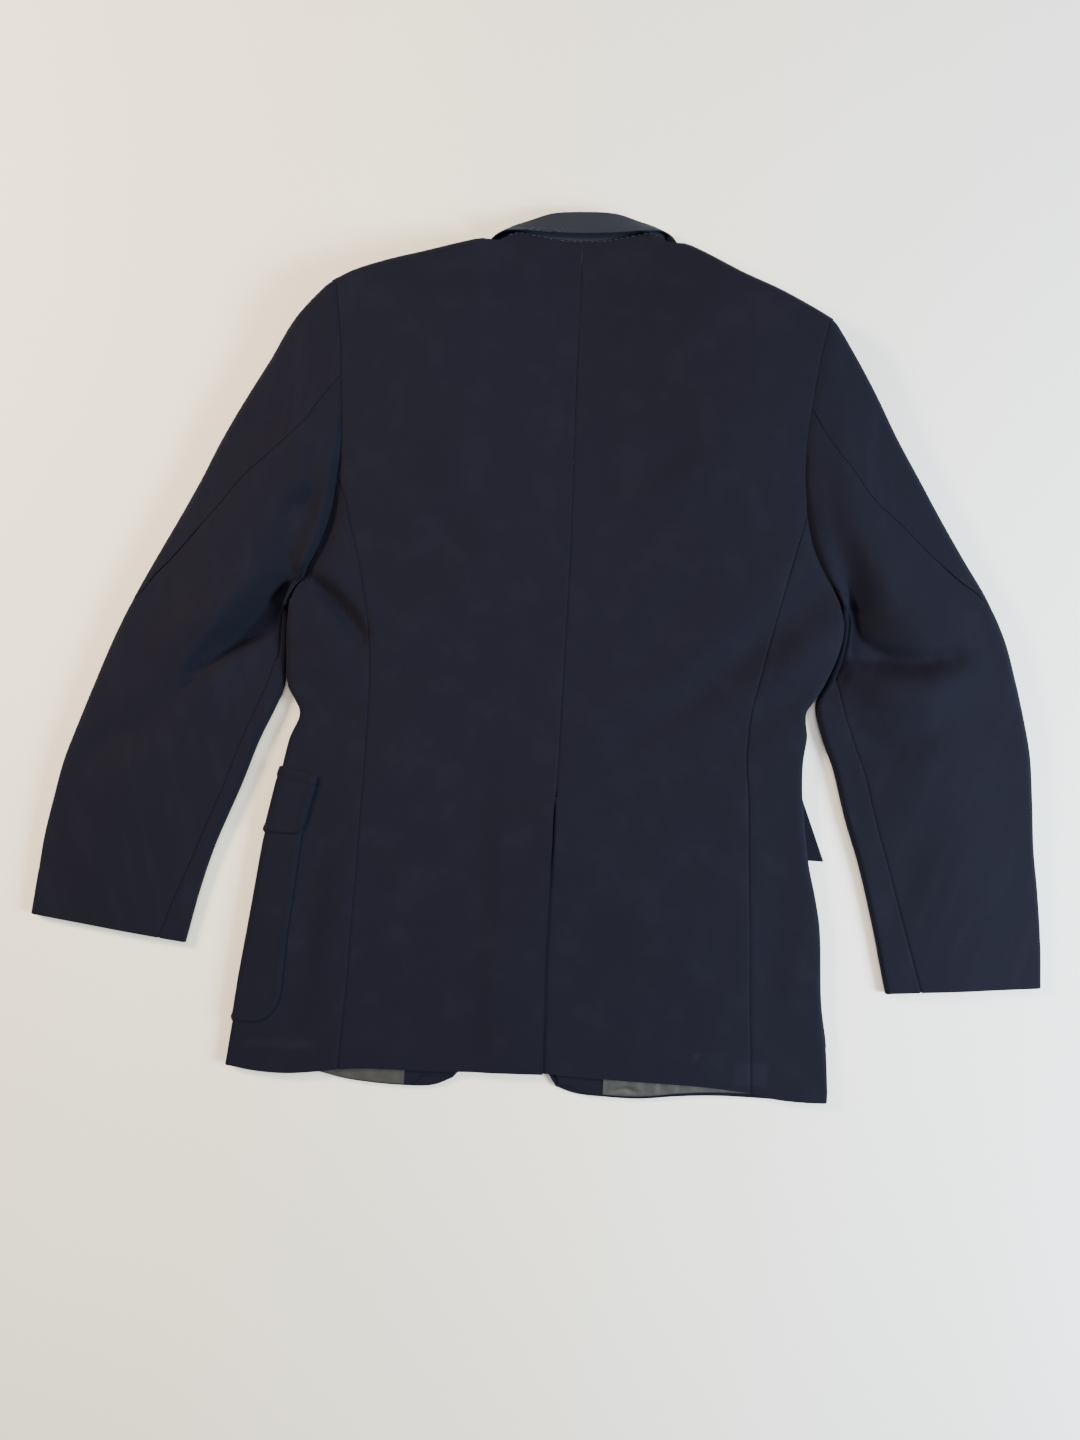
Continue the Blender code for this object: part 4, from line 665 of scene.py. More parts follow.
class Surface:
    """A grid of points on a cloth's outer face, with the way out at each."""

    def __init__(self, points: np.ndarray, ways: np.ndarray) -> None:
        """Keeps the points, and the ways out at length 1."""
        self.points = np.asarray(points, float)
        self.ways = unit(np.asarray(ways, float))

    def beside(self, other: "Surface") -> "Surface":
        """This grid and the next one across, whose first column repeats this one's last."""
        return Surface(
            np.concatenate([self.points, other.points[:, 1:]], 1), np.concatenate([self.ways, other.ways[:, 1:]], 1)
        )

    def above(self, other: "Surface") -> "Surface":
        """This grid and the next one up, whose first row repeats this one's last."""
        return Surface(np.concatenate([self.points, other.points[1:]]), np.concatenate([self.ways, other.ways[1:]]))

    def raised(self, distance: np.ndarray) -> "Surface":
        """The same grid moved out by a distance, which may differ from point to point."""
        return Surface(self.points + np.asarray(distance)[..., None] * self.ways, self.ways)

    def lengths(self) -> tuple[np.ndarray, np.ndarray]:
        """How far each point lies across and up the unrolled cloth."""
        zero = np.zeros_like(self.points[..., 0])
        over, up = zero.copy(), zero.copy()
        over[:, 1:] = np.cumsum(np.linalg.norm(np.diff(self.points, axis=1), axis=2), 1)
        up[1:] = np.cumsum(np.linalg.norm(np.diff(self.points, axis=0), axis=2), 0)
        return over, up

    def from_edges(self) -> dict[str, np.ndarray]:
        """How far each point lies from each of the grid's four edges."""
        over, up = self.lengths()
        return {"inner": over, "outer": over[:, -1:] - over, "foot": up, "top": up[-1:] - up}


def sheet_over(plan: np.ndarray, z: np.ndarray, up: float) -> Surface:
    """A surface over plan points at height z. Its way out is straight up where up is 1, and down where it is -1."""
    x = plan[..., 0]
    ways = np.zeros(x.shape + (3,))
    ways[..., 2] = up
    return Surface(np.stack([x, plan[..., 1], z + np.zeros_like(x)], -1), ways)


def draped(plan: np.ndarray, height: Callable[[np.ndarray, np.ndarray], np.ndarray]) -> Surface:
    """The surface over plan points, where height gives z. Its cloth is as thick upright all over."""
    return sheet_over(plan, height(plan[..., 0], plan[..., 1]), 1.0)


def level(plan: np.ndarray, z: np.ndarray) -> Surface:
    """A surface facing down at height z."""
    return sheet_over(plan, z, -1.0)


def rolled(tangent: np.ndarray, way: np.ndarray, reach: np.ndarray, low: np.ndarray, high: np.ndarray,
           turns: np.ndarray) -> Surface:
    """A roll from the underside to the back.

    Args:
        tangent: plan points where the roll starts and ends.
        way: plan directions out to the silhouette.
        reach: how far out the silhouette lies.
        low: the height of the underside.
        high: the height of the back.
        turns: 0 at the underside, 0.5 at the silhouette and 1 on the back.

    Returns:
        The roll's surface.
    """
    angle = np.pi * turns
    side = reach * np.sin(angle)
    z = low + (high - low) * (1 - np.cos(angle)) / 2
    points = np.concatenate([tangent + way * side[..., None], z[..., None]], -1)
    level_way = way * ((high - low) / 2 * np.sin(angle))[..., None]
    return Surface(points, np.concatenate([level_way, (-reach * np.cos(angle))[..., None]], -1))


def outward_of(line: np.ndarray, sign: float) -> np.ndarray:
    """The plan direction away from the garment at each point of a silhouette that runs downwards or upwards."""
    way = np.gradient(line, axis=0)
    ways = unit(np.stack([way[:, 1], -way[:, 0]], 1))
    return ways * np.where(ways[:, :1] * sign < 0, -1.0, 1.0)


def mirrored(points: Table, side: Side) -> np.ndarray:
    """Plan points of one side, with x turned to that side."""
    return np.asarray(points, float) * (side.out, 1.0)


def outline(tables: dict[Side, Table], side: Side) -> np.ndarray:
    """The dense line of one side's table."""
    return spline(mirrored(tables[side], side))


def side_line(side: Side, name: str) -> np.ndarray:
    """The back seam or the side fold of one side, from the hem to the last section, as a dense line."""
    x = column(BODY_COLUMNS, BODY, f"{side.value}_{name}")
    return spline(mirrored(np.stack([x, column(BODY_COLUMNS, BODY, "y")], 1), side))


def underarm_level(side: Side) -> float:
    """How high up the underarm lies."""
    return ARMHOLE_LOWER[side][-1][1]


def fold_line(side: Side, levels: np.ndarray) -> tuple[np.ndarray, np.ndarray, np.ndarray]:
    """The tangent points and ways out of the side fold at some levels, and how far it rolls."""
    x = x_at(side_line(side, "edge"), levels)
    roll = curve_of(BODY_COLUMNS, BODY, f"{side.value}_roll", levels)
    tangent = np.stack([x - side.out * roll, levels], -1)
    way = np.zeros_like(tangent)
    way[..., 0] = side.out
    return tangent, way, roll


def back_seam(side: Side) -> np.ndarray:
    """The seam between the back and the side, from the hem to the armhole."""
    rows = np.stack([column(BODY_COLUMNS, BODY, f"{side.value}_seam"), column(BODY_COLUMNS, BODY, "y")], 1)
    start = mirrored(HEM_BACK[side][-1:], side)
    return spline(np.concatenate([start, mirrored(rows[1:-1], side), mirrored(SEAM_TOP[side], side)]))


def shoulder_lines(side: Side, shares: np.ndarray) -> tuple[np.ndarray, np.ndarray, np.ndarray]:
    """Tangent points, ways out and roll of the shoulder from the neck point to the tip."""
    line = outline(SHOULDER, side)
    edge = at_shares(line, shares)
    ways = at_shares(line, shares, outward_of(line, side.out))
    tip = mirrored([SHOULDER_TIP_WAY[side]], side)
    blend = smooth(shares, 0.75, 1.0)[:, None]
    ways = unit((1 - blend) * ways + blend * tip / np.linalg.norm(tip))
    roll = np.full(len(edge), SHOULDER_ROLL)
    return edge - ways * roll[:, None], ways, roll


def neck_plan(side: Side, shares: np.ndarray) -> np.ndarray:
    """The neck seam from the centre to the neck point."""
    found = at_shares(spline(mirrored(NECK_SEAM, side)), shares)
    found[:, 1] += NECK_SKEW * found[:, 0]
    return found


def side_levels(side: Side, shares: np.ndarray) -> np.ndarray:
    """The levels of the side fold's rows, from the hem to the underarm."""
    foot = HEM_SIDE[side][-1][1]
    return foot + shares * (underarm_level(side) - foot)


def side_front_seam(side: Side, levels: np.ndarray) -> np.ndarray:
    """The seam between the side and the front, on the underside."""
    return fold_line(side, levels)[0] - (side.out * SIDE_FRONT_INSET, 0.0)


def underarm_rise(side: Side, plan: np.ndarray, up: np.ndarray) -> np.ndarray:
    """How far the underside's rows rise towards the front armhole above the underarm."""
    arm = outline(ARMHOLE_FRONT, side)[::-1]
    arm = arm[arm[:, 1] < underarm_level(side) + 0.05]
    x = plan[..., 0] * side.out
    order = np.argsort(arm[:, 0] * side.out)
    at_arm = np.interp(x, (arm[:, 0] * side.out)[order], arm[:, 1][order])
    return 0.86 * (at_arm - underarm_level(side)) * smooth(up, 0.55, 1.0)[:, None]


def upper_arm(side: Side, shares: np.ndarray) -> np.ndarray:
    """The armhole's points on the back, from its top end down to the seam with the side."""
    return at_shares(outline(ARMHOLE_UPPER, side), shares)


def lower_arm(side: Side, shares: np.ndarray) -> np.ndarray:
    """The armhole's points on the side, from the back seam to the underarm."""
    return at_shares(outline(ARMHOLE_LOWER, side), shares)


# Finishes

# How far apart the bands of a wave texture lie at a scale of 1
WAVE_PITCH = 0.3142


def toned(colour: Sequence[float], factor: float = 1.0, more: float = 0.0) -> tuple[float, ...]:
    """A colour made darker or paler, with its alpha."""
    return (*[c * factor + more for c in colour], 1.0)


class NodeBoard:
    """A material's nodes, with short ways to add and join them."""

    def __init__(self, name: str) -> None:
        """Makes an empty material of that name."""
        self.material = bpy.data.materials.new(name)
        self.material.use_nodes = True
        self.tree = self.material.node_tree
        self.tree.nodes.clear()

    def add(self, kind: str, settings: Optional[dict] = None, **inputs: object) -> bpy.types.Node:
        """Adds a node.

        Args:
            kind: Blender's type of the node.
            settings: the node's own options.
            inputs: values or output sockets for its inputs. An underscore in a name stands for a space.

        Returns:
            The node.
        """
        node = self.tree.nodes.new(kind)
        for key, value in (settings or {}).items():
            setattr(node, key, value)
        for key, value in inputs.items():
            name = key.replace("_", " ")
            socket = node.inputs[int(key[1:])] if key[0] == "n" and key[1:].isdigit() else node.inputs[name]
            if isinstance(value, bpy.types.NodeSocket):
                self.tree.links.new(value, socket)
            else:
                socket.default_value = value
        return node

    def math(self, operation: str, first: object, second: object = 0.0) -> bpy.types.NodeSocket:
        """The result of a sum on numbers or sockets."""
        return self.add("ShaderNodeMath", {"operation": operation}, n0=first, n1=second).outputs[0]

    def mix(self, share: object, first: object, second: object) -> bpy.types.NodeSocket:
        """A colour between two."""
        node = self.add("ShaderNodeMix", {"data_type": "RGBA"})
        for index, value in ((0, share), (6, first), (7, second)):
            if isinstance(value, bpy.types.NodeSocket):
                self.tree.links.new(value, node.inputs[index])
            else:
                node.inputs[index].default_value = value
        return node.outputs[2]

    def ramp(self, value: bpy.types.NodeSocket, low: float, high: float) -> bpy.types.NodeSocket:
        """0 below low, 1 above high."""
        return self.add(
            "ShaderNodeMapRange", {"interpolation_type": "SMOOTHSTEP"}, Value=value, From_Min=low, From_Max=high
        ).outputs[0]

    def plus(self, first: object, second: object, share: float) -> bpy.types.NodeSocket:
        """The first and a share of the second."""
        return self.math("ADD", first, self.math("MULTIPLY", second, share))

    def wave(self, direction: str, pitch: float, **inputs: object) -> bpy.types.NodeSocket:
        """Bands at a pitch."""
        settings = {"wave_type": "BANDS", "bands_direction": direction}
        return self.add("ShaderNodeTexWave", settings, Scale=WAVE_PITCH / pitch, **inputs).outputs["Fac"]

    def noise(self, **inputs: object) -> bpy.types.NodeSocket:
        """Cloudy unevenness."""
        return self.add("ShaderNodeTexNoise", **inputs).outputs["Fac"]

    def stretched(self, place: bpy.types.NodeSocket, share: float) -> bpy.types.NodeSocket:
        """A place with its y drawn together, which draws the pattern out along y."""
        return self.add("ShaderNodeMapping", Vector=place, Scale=(1.0, share, 1.0)).outputs[0]

    def finish(self, viewport: Sequence[float], colour: object, rough: object, relief: bpy.types.NodeSocket,
               strength: float, depth: float, **more: object) -> bpy.types.Material:
        """Joins a shader with a relief to the output.

        Args:
            viewport: the plain colour for the viewport.
            colour: the base colour, a value or a socket.
            rough: the roughness, a value or a socket.
            relief: the height of the relief.
            strength: how strongly the relief shows.
            depth: how deep it is.
            more: further inputs of the shader.

        Returns:
            The material.
        """
        bump = self.add("ShaderNodeBump", Height=relief, Strength=strength, Distance=depth)
        shader = self.add(
            "ShaderNodeBsdfPrincipled", Base_Color=colour, Normal=bump.outputs[0], Roughness=rough, **more
        )
        output = self.add("ShaderNodeOutputMaterial")
        self.tree.links.new(shader.outputs[0], output.inputs["Surface"])
        self.material.diffuse_color = (*viewport, 1)
        return self.material


@dataclass(frozen=True)
class Finish:
    """What every finish has: its material's name and main colour."""

    name: str
    colour: tuple[float, float, float]


@dataclass(frozen=True)
class WoolFinish(Finish):
    """Fine wool twill with a soft bloom. The inside of a piece may be lined.

    wale is the twill's pitch, slant its angle, fuzz the size of its fibres and bloom the strength of its soft
    sheen."""

    lining: tuple[float, float, float] = (0.028, 0.027, 0.0255)
    wale: float = 0.00105
    slant: float = 27.0
    fuzz: float = 0.0005
    bloom: float = 0.02
    roughness: float = 0.88

    def build(self) -> bpy.types.Material:
        """Makes the material."""
        board = NodeBoard(self.name)
        cloth = board.add("ShaderNodeUVMap", {"uv_map": "cut"}).outputs[0]
        turn = (0.0, 0.0, math.radians(self.slant))
        slanted = board.add("ShaderNodeMapping", Vector=cloth, Rotation=turn).outputs[0]
        twill = board.wave("X", self.wale, Vector=slanted, Distortion=1.2, Detail=1.0, Detail_Scale=1.5)
        thread = board.noise(Vector=board.stretched(cloth, 0.28), Scale=1.0 / self.fuzz, Detail=2.0, Roughness=0.6)
        cloud = board.noise(Vector=cloth, Scale=26.0, Detail=4.0, Roughness=0.55)
        specks = board.add("ShaderNodeTexVoronoi", Vector=cloth, Scale=48.0, Randomness=1.0)
        near = board.math("LESS_THAN", specks.outputs["Distance"], 0.020)
        drawn = board.add("ShaderNodeSeparateColor", Color=specks.outputs["Color"]).outputs[0]
        lint = board.math("MULTIPLY", near, board.math("GREATER_THAN", drawn, 0.93))
        grain = board.plus(board.math("MULTIPLY", twill, 0.42), thread, 0.58)
        mark = board.add("ShaderNodeAttribute", {"attribute_name": "press"}).outputs["Fac"]
        inside = board.add("ShaderNodeAttribute", {"attribute_name": "inside"}).outputs["Fac"]
        colour = board.mix(board.ramp(grain, 0.28, 0.74), toned(self.colour, 0.66), toned(self.colour, 1.42))
        for share, tone in (
            (board.math("MULTIPLY", board.ramp(cloud, 0.48, 0.72), 0.55), toned(self.colour, 1.20, 0.0012)),
            (board.math("MULTIPLY", lint, 0.30), (0.30, 0.30, 0.31, 1.0)),
            (board.math("MULTIPLY", mark, 0.55), toned(self.colour, 1.9, 0.002)),
            (inside, toned(self.lining)),
        ):
            colour = board.mix(share, colour, tone)
        return board.finish(
            self.colour, colour, self.roughness, board.plus(grain, cloud, 0.5), 0.35, 0.00022,
            Sheen_Weight=self.bloom, Sheen_Roughness=0.45, Sheen_Tint=(0.62, 0.70, 1.0, 1.0),
            Specular_IOR_Level=0.07,
        )


@dataclass(frozen=True)
class LiningFinish(Finish):
    """Smooth grey satin lining with fine puckers, painted darker in their hollows and paler on their crests as shade
    and light. rib is the weave's pitch and pucker the size of its creases.
    """

    rib: float = 0.0005
    pucker: float = 0.006

    def build(self) -> bpy.types.Material:
        """Makes the material."""
        board = NodeBoard(self.name)
        cloth = board.add("ShaderNodeUVMap", {"uv_map": "cut"}).outputs[0]
        rib = board.wave("Y", self.rib, Vector=cloth, Distortion=0.6, Detail=1.0)
        creases = board.noise(
            Vector=board.stretched(cloth, 0.35), Scale=1.0 / self.pucker, Detail=3.0, Roughness=0.55
        )
        # Painted shade and light: the colour follows the creases, darker in their hollows and paler on their crests,
        # together with the weave's ribs.
        tone = board.plus(board.math("MULTIPLY", rib, 0.3), creases, 0.7)
        colour = board.mix(board.ramp(tone, 0.3, 0.7), toned(self.colour, 0.72), toned(self.colour, 1.25))
        return board.finish(self.colour, colour, 0.55, board.plus(creases, rib, 0.04), 0.35, 0.0010)


@dataclass(frozen=True)
class HornFinish(Finish):
    """Polished dark horn with paler streaks."""

    def build(self) -> bpy.types.Material:
        """Makes the material."""
        board = NodeBoard(self.name)
        place = board.add("ShaderNodeTexCoord").outputs["Object"]
        streak = board.noise(Vector=board.stretched(place, 0.3), Scale=420.0, Detail=4.0, Distortion=0.6)
        colour = board.mix(board.ramp(streak, 0.45, 0.75), toned(self.colour), toned(self.colour, 3.4))
        rough = board.add("ShaderNodeMapRange", Value=streak, To_Min=0.22, To_Max=0.4).outputs[0]
        return board.finish(self.colour, colour, rough, streak, 0.2, 0.0001)


@dataclass(frozen=True)
class ThreadFinish(Finish):
    """Silky sewing thread. twist is the pitch of its plies."""

    twist: float = 0.0007

    def build(self) -> bpy.types.Material:
        """Makes the material."""
        board = NodeBoard(self.name)
        place = board.add("ShaderNodeTexCoord").outputs["Object"]
        ply = board.wave("DIAGONAL", self.twist, Vector=place, Distortion=0.3)
        colour = board.mix(ply, toned(self.colour, 0.6), toned(self.colour, 1.3))
        return board.finish(self.colour, colour, 0.4, ply, 0.5, 0.0001)


@dataclass(frozen=True)
class FloorFinish(Finish):
    """A pale matt floor that turns from a warm colour to its main one over a span of x. The warm colour is painted
    light of the warm lamp on the left.
    """

    warm: tuple[float, float, float]
    span: tuple[float, float] = (-0.30, 0.60)

    def build(self) -> bpy.types.Material:
        """Makes the material."""
        board = NodeBoard(self.name)
        place = board.add("ShaderNodeTexCoord").outputs["Object"]
        run = board.add("ShaderNodeSeparateXYZ", Vector=place).outputs["X"]
        grain = board.noise(Vector=place, Scale=900.0, Detail=2.0)
        colour = board.mix(board.ramp(run, *self.span), toned(self.warm), toned(self.colour))
        rough = board.add("ShaderNodeMapRange", Value=grain, To_Min=0.85, To_Max=0.95).outputs[0]
        return board.finish(self.colour, colour, rough, grain, 0.05, 0.0002)


@dataclass
class Finishes:
    """The garment's materials, built once."""

    wool: bpy.types.Material
    collar: bpy.types.Material
    lining: bpy.types.Material
    horn: bpy.types.Material
    pale_thread: bpy.types.Material


# Building pieces


@dataclass(frozen=True)
class Cut:
    """A cloth piece as it was cut: its width, length and flat area."""

    width: float
    length: float
    area: float


def placed(name: str, data: bpy.types.ID) -> bpy.types.Object:
    """A new object of the scene, at the origin."""
    found = bpy.data.objects.new(name, data)
    bpy.context.scene.collection.objects.link(found)
    return found


@dataclass
class ClothPiece:
    """One piece of cloth: a thin closed shell on the form of its outer face.

    soft names the grid's edges that are turned and pressed round, lined is how far from the foot the inside stays
    plain wool before its lining starts, and kept leaves out some cells of the grid."""

    name: str
    surface: Surface
    thickness: float
    material: bpy.types.Material
    soft: Sequence[str] = ()
    lined: Optional[float] = None
    kept: Optional[np.ndarray] = None
    rings: int = 4

    def faces(self) -> np.ndarray:
        """The outer face's quads, counted round as seen from outside."""
        rows, columns = self.surface.points.shape[:2]
        index = np.arange(rows * columns).reshape(rows, columns)
        quads = np.stack([index[:-1, :-1], index[:-1, 1:], index[1:, 1:], index[1:, :-1]], -1)
        points, ways = self.surface.points, self.surface.ways
        i, j = rows // 2, columns // 2
        facing = np.cross(points[i, j + 1] - points[i, j], points[i + 1, j] - points[i, j])
        if facing @ ways[i, j] < 0:
            quads = quads[..., ::-1]
        kept = np.ones(quads.shape[:2], bool) if self.kept is None else self.kept
        return quads[kept]

    def soft_share(self) -> np.ndarray:
        """1 at points on a soft edge and 0 elsewhere, one number a point."""
        share = np.zeros(self.surface.points.shape[:2])
        places = {"foot": (0, slice(None)), "top": (-1, slice(None)), "inner": (slice(None), 0),
                  "outer": (slice(None), -1)}
        for name in self.soft:
            share[places[name]] = 1.0
        for name in set(places) - set(self.soft):
            share[places[name]] = 0.0
        return share.ravel()

    def build(self) -> bpy.types.Object:
        """Makes the piece's mesh, its cut as a UV map in metres and its object at the origin."""
        shift = np.array([ORIGIN_X, ORIGIN_Y, 0.0])
        outer = self.surface.points.reshape(-1, 3) - shift
        ways = self.surface.ways.reshape(-1, 3)
        inner = outer - self.thickness * ways
        quads = self.faces()
        count = len(outer)
        heads, tails = quads.ravel(), np.roll(quads, -1, axis=1).ravel()
        open_edge = ~np.isin(heads * count + tails, tails * count + heads)
        heads, tails = heads[open_edge], tails[open_edge]
        run = outer[tails] - outer[heads]
        out = np.zeros_like(outer)
        np.add.at(out, heads, np.cross(run, ways[heads]))
        np.add.at(out, tails, np.cross(run, ways[tails]))
        border = np.unique(heads)
        out = out[border] / np.maximum(np.linalg.norm(out[border], axis=1), 1e-12)[:, None]
        share = (self.soft_share() if self.kept is None else np.zeros(count))[border]
        middle = (outer[border] + inner[border]) / 2
        rows = [border]
        positions = [outer, inner]
        for ring in range(1, self.rings):
            angle = math.pi * ring / self.rings
            lift = self.thickness / 2 * (ways[border] * math.cos(angle) + out * (share * math.sin(angle))[:, None])
            positions.append(middle + lift)
            rows.append(2 * count + (ring - 1) * len(border) + np.arange(len(border)))
        rows.append(border + count)
        place = np.full(count, -1)
        place[border] = np.arange(len(border))
        h, t = place[heads], place[tails]
        rim = [np.stack([a[t], a[h], b[h], b[t]], 1) for a, b in zip(rows[:-1], rows[1:])]
        faces = np.concatenate([quads, quads[:, ::-1] + count, *rim])
        points = np.concatenate(positions)
        across_cloth, up_cloth = (part.ravel() for part in self.surface.lengths())
        cut = np.stack([across_cloth, up_cloth], 1)
        cut = np.concatenate([cut, cut] + [cut[border]] * (self.rings - 1))
        inside = np.zeros(len(points))
        if self.lined is not None:
            inside[count:2 * count] = smooth(up_cloth, self.lined, self.lined + 0.0015)
        press = press_marks(points[:, 0] + ORIGIN_X, points[:, 1] + ORIGIN_Y)
        used = np.zeros(len(points), bool)
        used[faces.ravel()] = True
        renumbered = np.cumsum(used) - 1
        faces, points, cut = renumbered[faces], points[used], cut[used]
        mesh = bpy.data.meshes.new(self.name)
        mesh.from_pydata(points.tolist(), [], faces.tolist())
        mesh.uv_layers.new(name="cut").data.foreach_set("uv", cut[faces.ravel()].astype(np.float32).ravel())
        for name, values in (("inside", inside), ("press", press)):
            mesh.attributes.new(name, "FLOAT", "POINT").data.foreach_set("value", values[used].astype(np.float32))
        mesh.materials.append(self.material)
        mesh.shade_smooth()
        mesh.set_sharp_from_angle(angle=math.radians(60))
        return placed(self.name, mesh)


def dress(piece: bpy.types.Object, nodes: Sequence[str] = ()) -> None:
    """Joins a piece to the garment's body and hides the nodes it stands for."""
    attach(piece, "root")
    if nodes:
        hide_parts(*nodes)
    triangles = sum(len(face.vertices) - 2 for face in piece.data.polygons)
    log.info("%s: %d triangles", piece.name, triangles)


def lay_cloth(cloth: ClothPiece) -> None:
    """Builds a cloth piece and dresses it.

    Args:
        cloth: the piece, named as the node that it stands for.
    """
    node = cloth.name
    cloth.name = f"{node}_cloth"
    piece = cloth.build()
    dress(piece, [node])


@dataclass
class BackHalves:
    """Both halves of the back, joined at the centre seam above the vent.

    neck_turn is how far the cloth turns over at the neck and shoulder_turn how much further at the shoulder, where 1
    is right under. gape is how far below the origin the vent's gape starts to close and ends."""

    finishes: Finishes
    seam_rows: int = 120
    arm_rows: int = 56
    columns: int = 62
    wrap: int = 10
    neck_share: float = 0.36
    neck_roll: float = 0.0030
    neck_drop: float = 0.006
    neck_turn: float = 0.10
    shoulder_turn: float = 0.40
    lap_points: int = 41
    gape: tuple[float, float] = (0.110, 0.165)
    gape_width: float = 0.0040
    hem_plain: float = 0.035

    def top_line(self, side: Side, shares: np.ndarray) -> tuple[np.ndarray, ...]:
        """The back's upper boundary: the neck seam, then the shoulder.

        Args:
            side: which half.
            shares: places across, from 0 at the centre back to 1 at the armhole.

        Returns:
            Plan points, ways out, rolls, and how far each place turns over.
        """
        neck = neck_plan(side, np.minimum(shares / self.neck_share, 1))
        run = np.clip((shares - self.neck_share) / (1 - self.neck_share), 0, 1)
        tangent, ways, roll = shoulder_lines(side, run)
        plan = np.where((shares <= self.neck_share)[:, None], neck, tangent)
        turned = smooth(run, 0.0, 0.12)
        up = np.array([[0.0, 1.0]])
        ways = unit(up * (1 - turned)[:, None] + ways * turned[:, None])
        return plan, ways, self.neck_roll + (roll - self.neck_roll) * turned, turned

    def panel(self, side: Side) -> Surface:
        """The outer face of half the back, from the centre out and from the hem to the shoulder's roll."""
        sign = side.out
        out = closer_at_ends(self.columns)
        seam = beside_line(back_seam(side), sign * SEAM_GAP / 2, np.linspace(0, 1, self.seam_rows + 1))
        arm = upper_arm(side, np.linspace(0, 1, self.arm_rows + 1))[::-1][1:] - (sign * SEAM_GAP / 2, 0.0)
        outer = np.concatenate([seam, arm])
        up = lengths_along(outer)
        centre = beside_line(spline(CENTRE_BACK), -sign * SEAM_GAP / 2, up)
        centre[:, 0] += vent_edge(side, centre[:, 1])
        top, ways, rolls, turned = self.top_line(side, out)
        plan = coons(at_shares(outline(HEM_BACK, side), out), top, centre, outer, out, up)

        def height(x: np.ndarray, y: np.ndarray) -> np.ndarray:
            """The half's height, with the vent's lift on the left and its gape on the right."""
            extra = vent_lift(x, y) if side is Side.LEFT else VENT_MOUND.height(x, y)
            return back_height(x, y) + extra

        flat = draped(plan, height)
        high = flat.points[-1, :, 2]
        low = high - self.neck_drop + (FRONT_REST - high + self.neck_drop) * turned
        reach = self.neck_turn + self.shoulder_turn * turned
        turns = 1 - np.linspace(0, 1, self.wrap + 1)[:, None] * reach[None]
        roll = rolled(plan[-1][None], ways[None], np.broadcast_to(rolls, turns.shape), low, high, turns)
        apart = flat.from_edges()
        seamed = smooth(flat.points[..., 1], VENT_TOP - 0.006, VENT_TOP + 0.002)
        ditch = CENTRE_DITCH.at(apart["inner"]) * seamed + SEAM_DITCH.at(apart["outer"])
        allowance = CENTRE_ALLOWANCE.at(apart["inner"]) * seamed + SEAM_ALLOWANCE.at(apart["outer"])
        flat = flat.raised(allowance + HEM_TURNING.at(apart["foot"]) + ditch)
        return flat.above(roll)

    def build(self) -> None:
        """Builds both halves. The right one has the vent's underlap, cut in one with it."""
        wool = self.finishes.wool
        left = ClothPiece("back_left", self.panel(Side.LEFT), CLOTH, wool, ("foot",), self.hem_plain)
        lay_cloth(left)
        right = self.panel(Side.RIGHT)
        widths = UNDERLAP_WIDTH * (1 - np.linspace(0, 1, self.lap_points))
        edge = right.points[:, :1, :2]
        plan = np.concatenate([edge - (w, 0.0) for w in widths], 1)

        def lap_height(x: np.ndarray, y: np.ndarray) -> np.ndarray:
            """The underlap lies as the right back does, but drops away from its crease near the vent's top."""
            open_top = 1 - smooth(-y, *self.gape)
            drop = smooth(-x, 0.0, self.gape_width) * open_top
            lifted = VENT_MOUND.height(x, y) * (1 - drop)
            return back_height(x, y) + lifted - VENT_SINK * drop

        lap = draped(plan, lap_height)
        rows = right.points.shape[0]
        kept = np.ones((rows - 1, plan.shape[1] + right.points.shape[1] - 2), bool)
        kept[right.points[1:, 0, 1] > VENT_TOP - 0.002, : len(widths) - 1] = False
        lap.points[:, -1], lap.ways[:, -1] = right.points[:, 0], right.ways[:, 0]
        whole = ClothPiece("back_right", lap.beside(right), CLOTH, wool, ("foot",), self.hem_plain, kept)
        lay_cloth(whole)


@dataclass
class SidePanels:
    """The two side bodies, each from the back seam round the side fold and a little way under."""

    finishes: Finishes
    rows: int = 150
    flat: int = 34
    roll: int = 16
    under: int = 12
    crowding: float = 1.15
    hem_plain: float = 0.035

    def panel(self, side: Side) -> Surface:
        """The outer face of one side."""
        sign = side.out
        up, out = np.linspace(0, 1, self.rows + 1), np.linspace(0, 1, self.flat + 1) ** self.crowding
        seam = beside_line(back_seam(side), -sign * SEAM_GAP / 2, up)
        levels = side_levels(side, up)
        tangent, way, reach = fold_line(side, levels)
        hem = at_shares(outline(HEM_SIDE, side), out)
        arm = lower_arm(side, out) - (sign * SEAM_GAP / 2, 0.0)
        top = draped(coons(hem, arm, seam, tangent, out, up), back_height)
        turns = np.linspace(1, 0, self.roll + 1)[None] * np.ones((self.rows + 1, 1))
        high = top.points[:, -1:, 2]
        bend = rolled(tangent[:, None], way[:, None], reach[:, None] * np.ones_like(turns), FRONT_REST, high, turns)
        apart = top.from_edges()
        ditch = np.minimum(SEAM_DITCH.at(apart["inner"]), ARM_DITCH.at(apart["top"]))
        top = top.raised(SEAM_ALLOWANCE.at(apart["inner"]) + ditch)
        beneath = between(tangent, side_front_seam(side, levels), self.under + 1)
        beneath[..., 1] += underarm_rise(side, beneath, up)
        return top.beside(bend).beside(level(beneath, FRONT_REST))

    def build(self) -> None:
        """Builds both sides."""
        for side in Side:
            cloth = ClothPiece(
                f"side_{side.value}", self.panel(side), CLOTH, self.finishes.wool, ("foot",), self.hem_plain
            )
            lay_cloth(cloth)


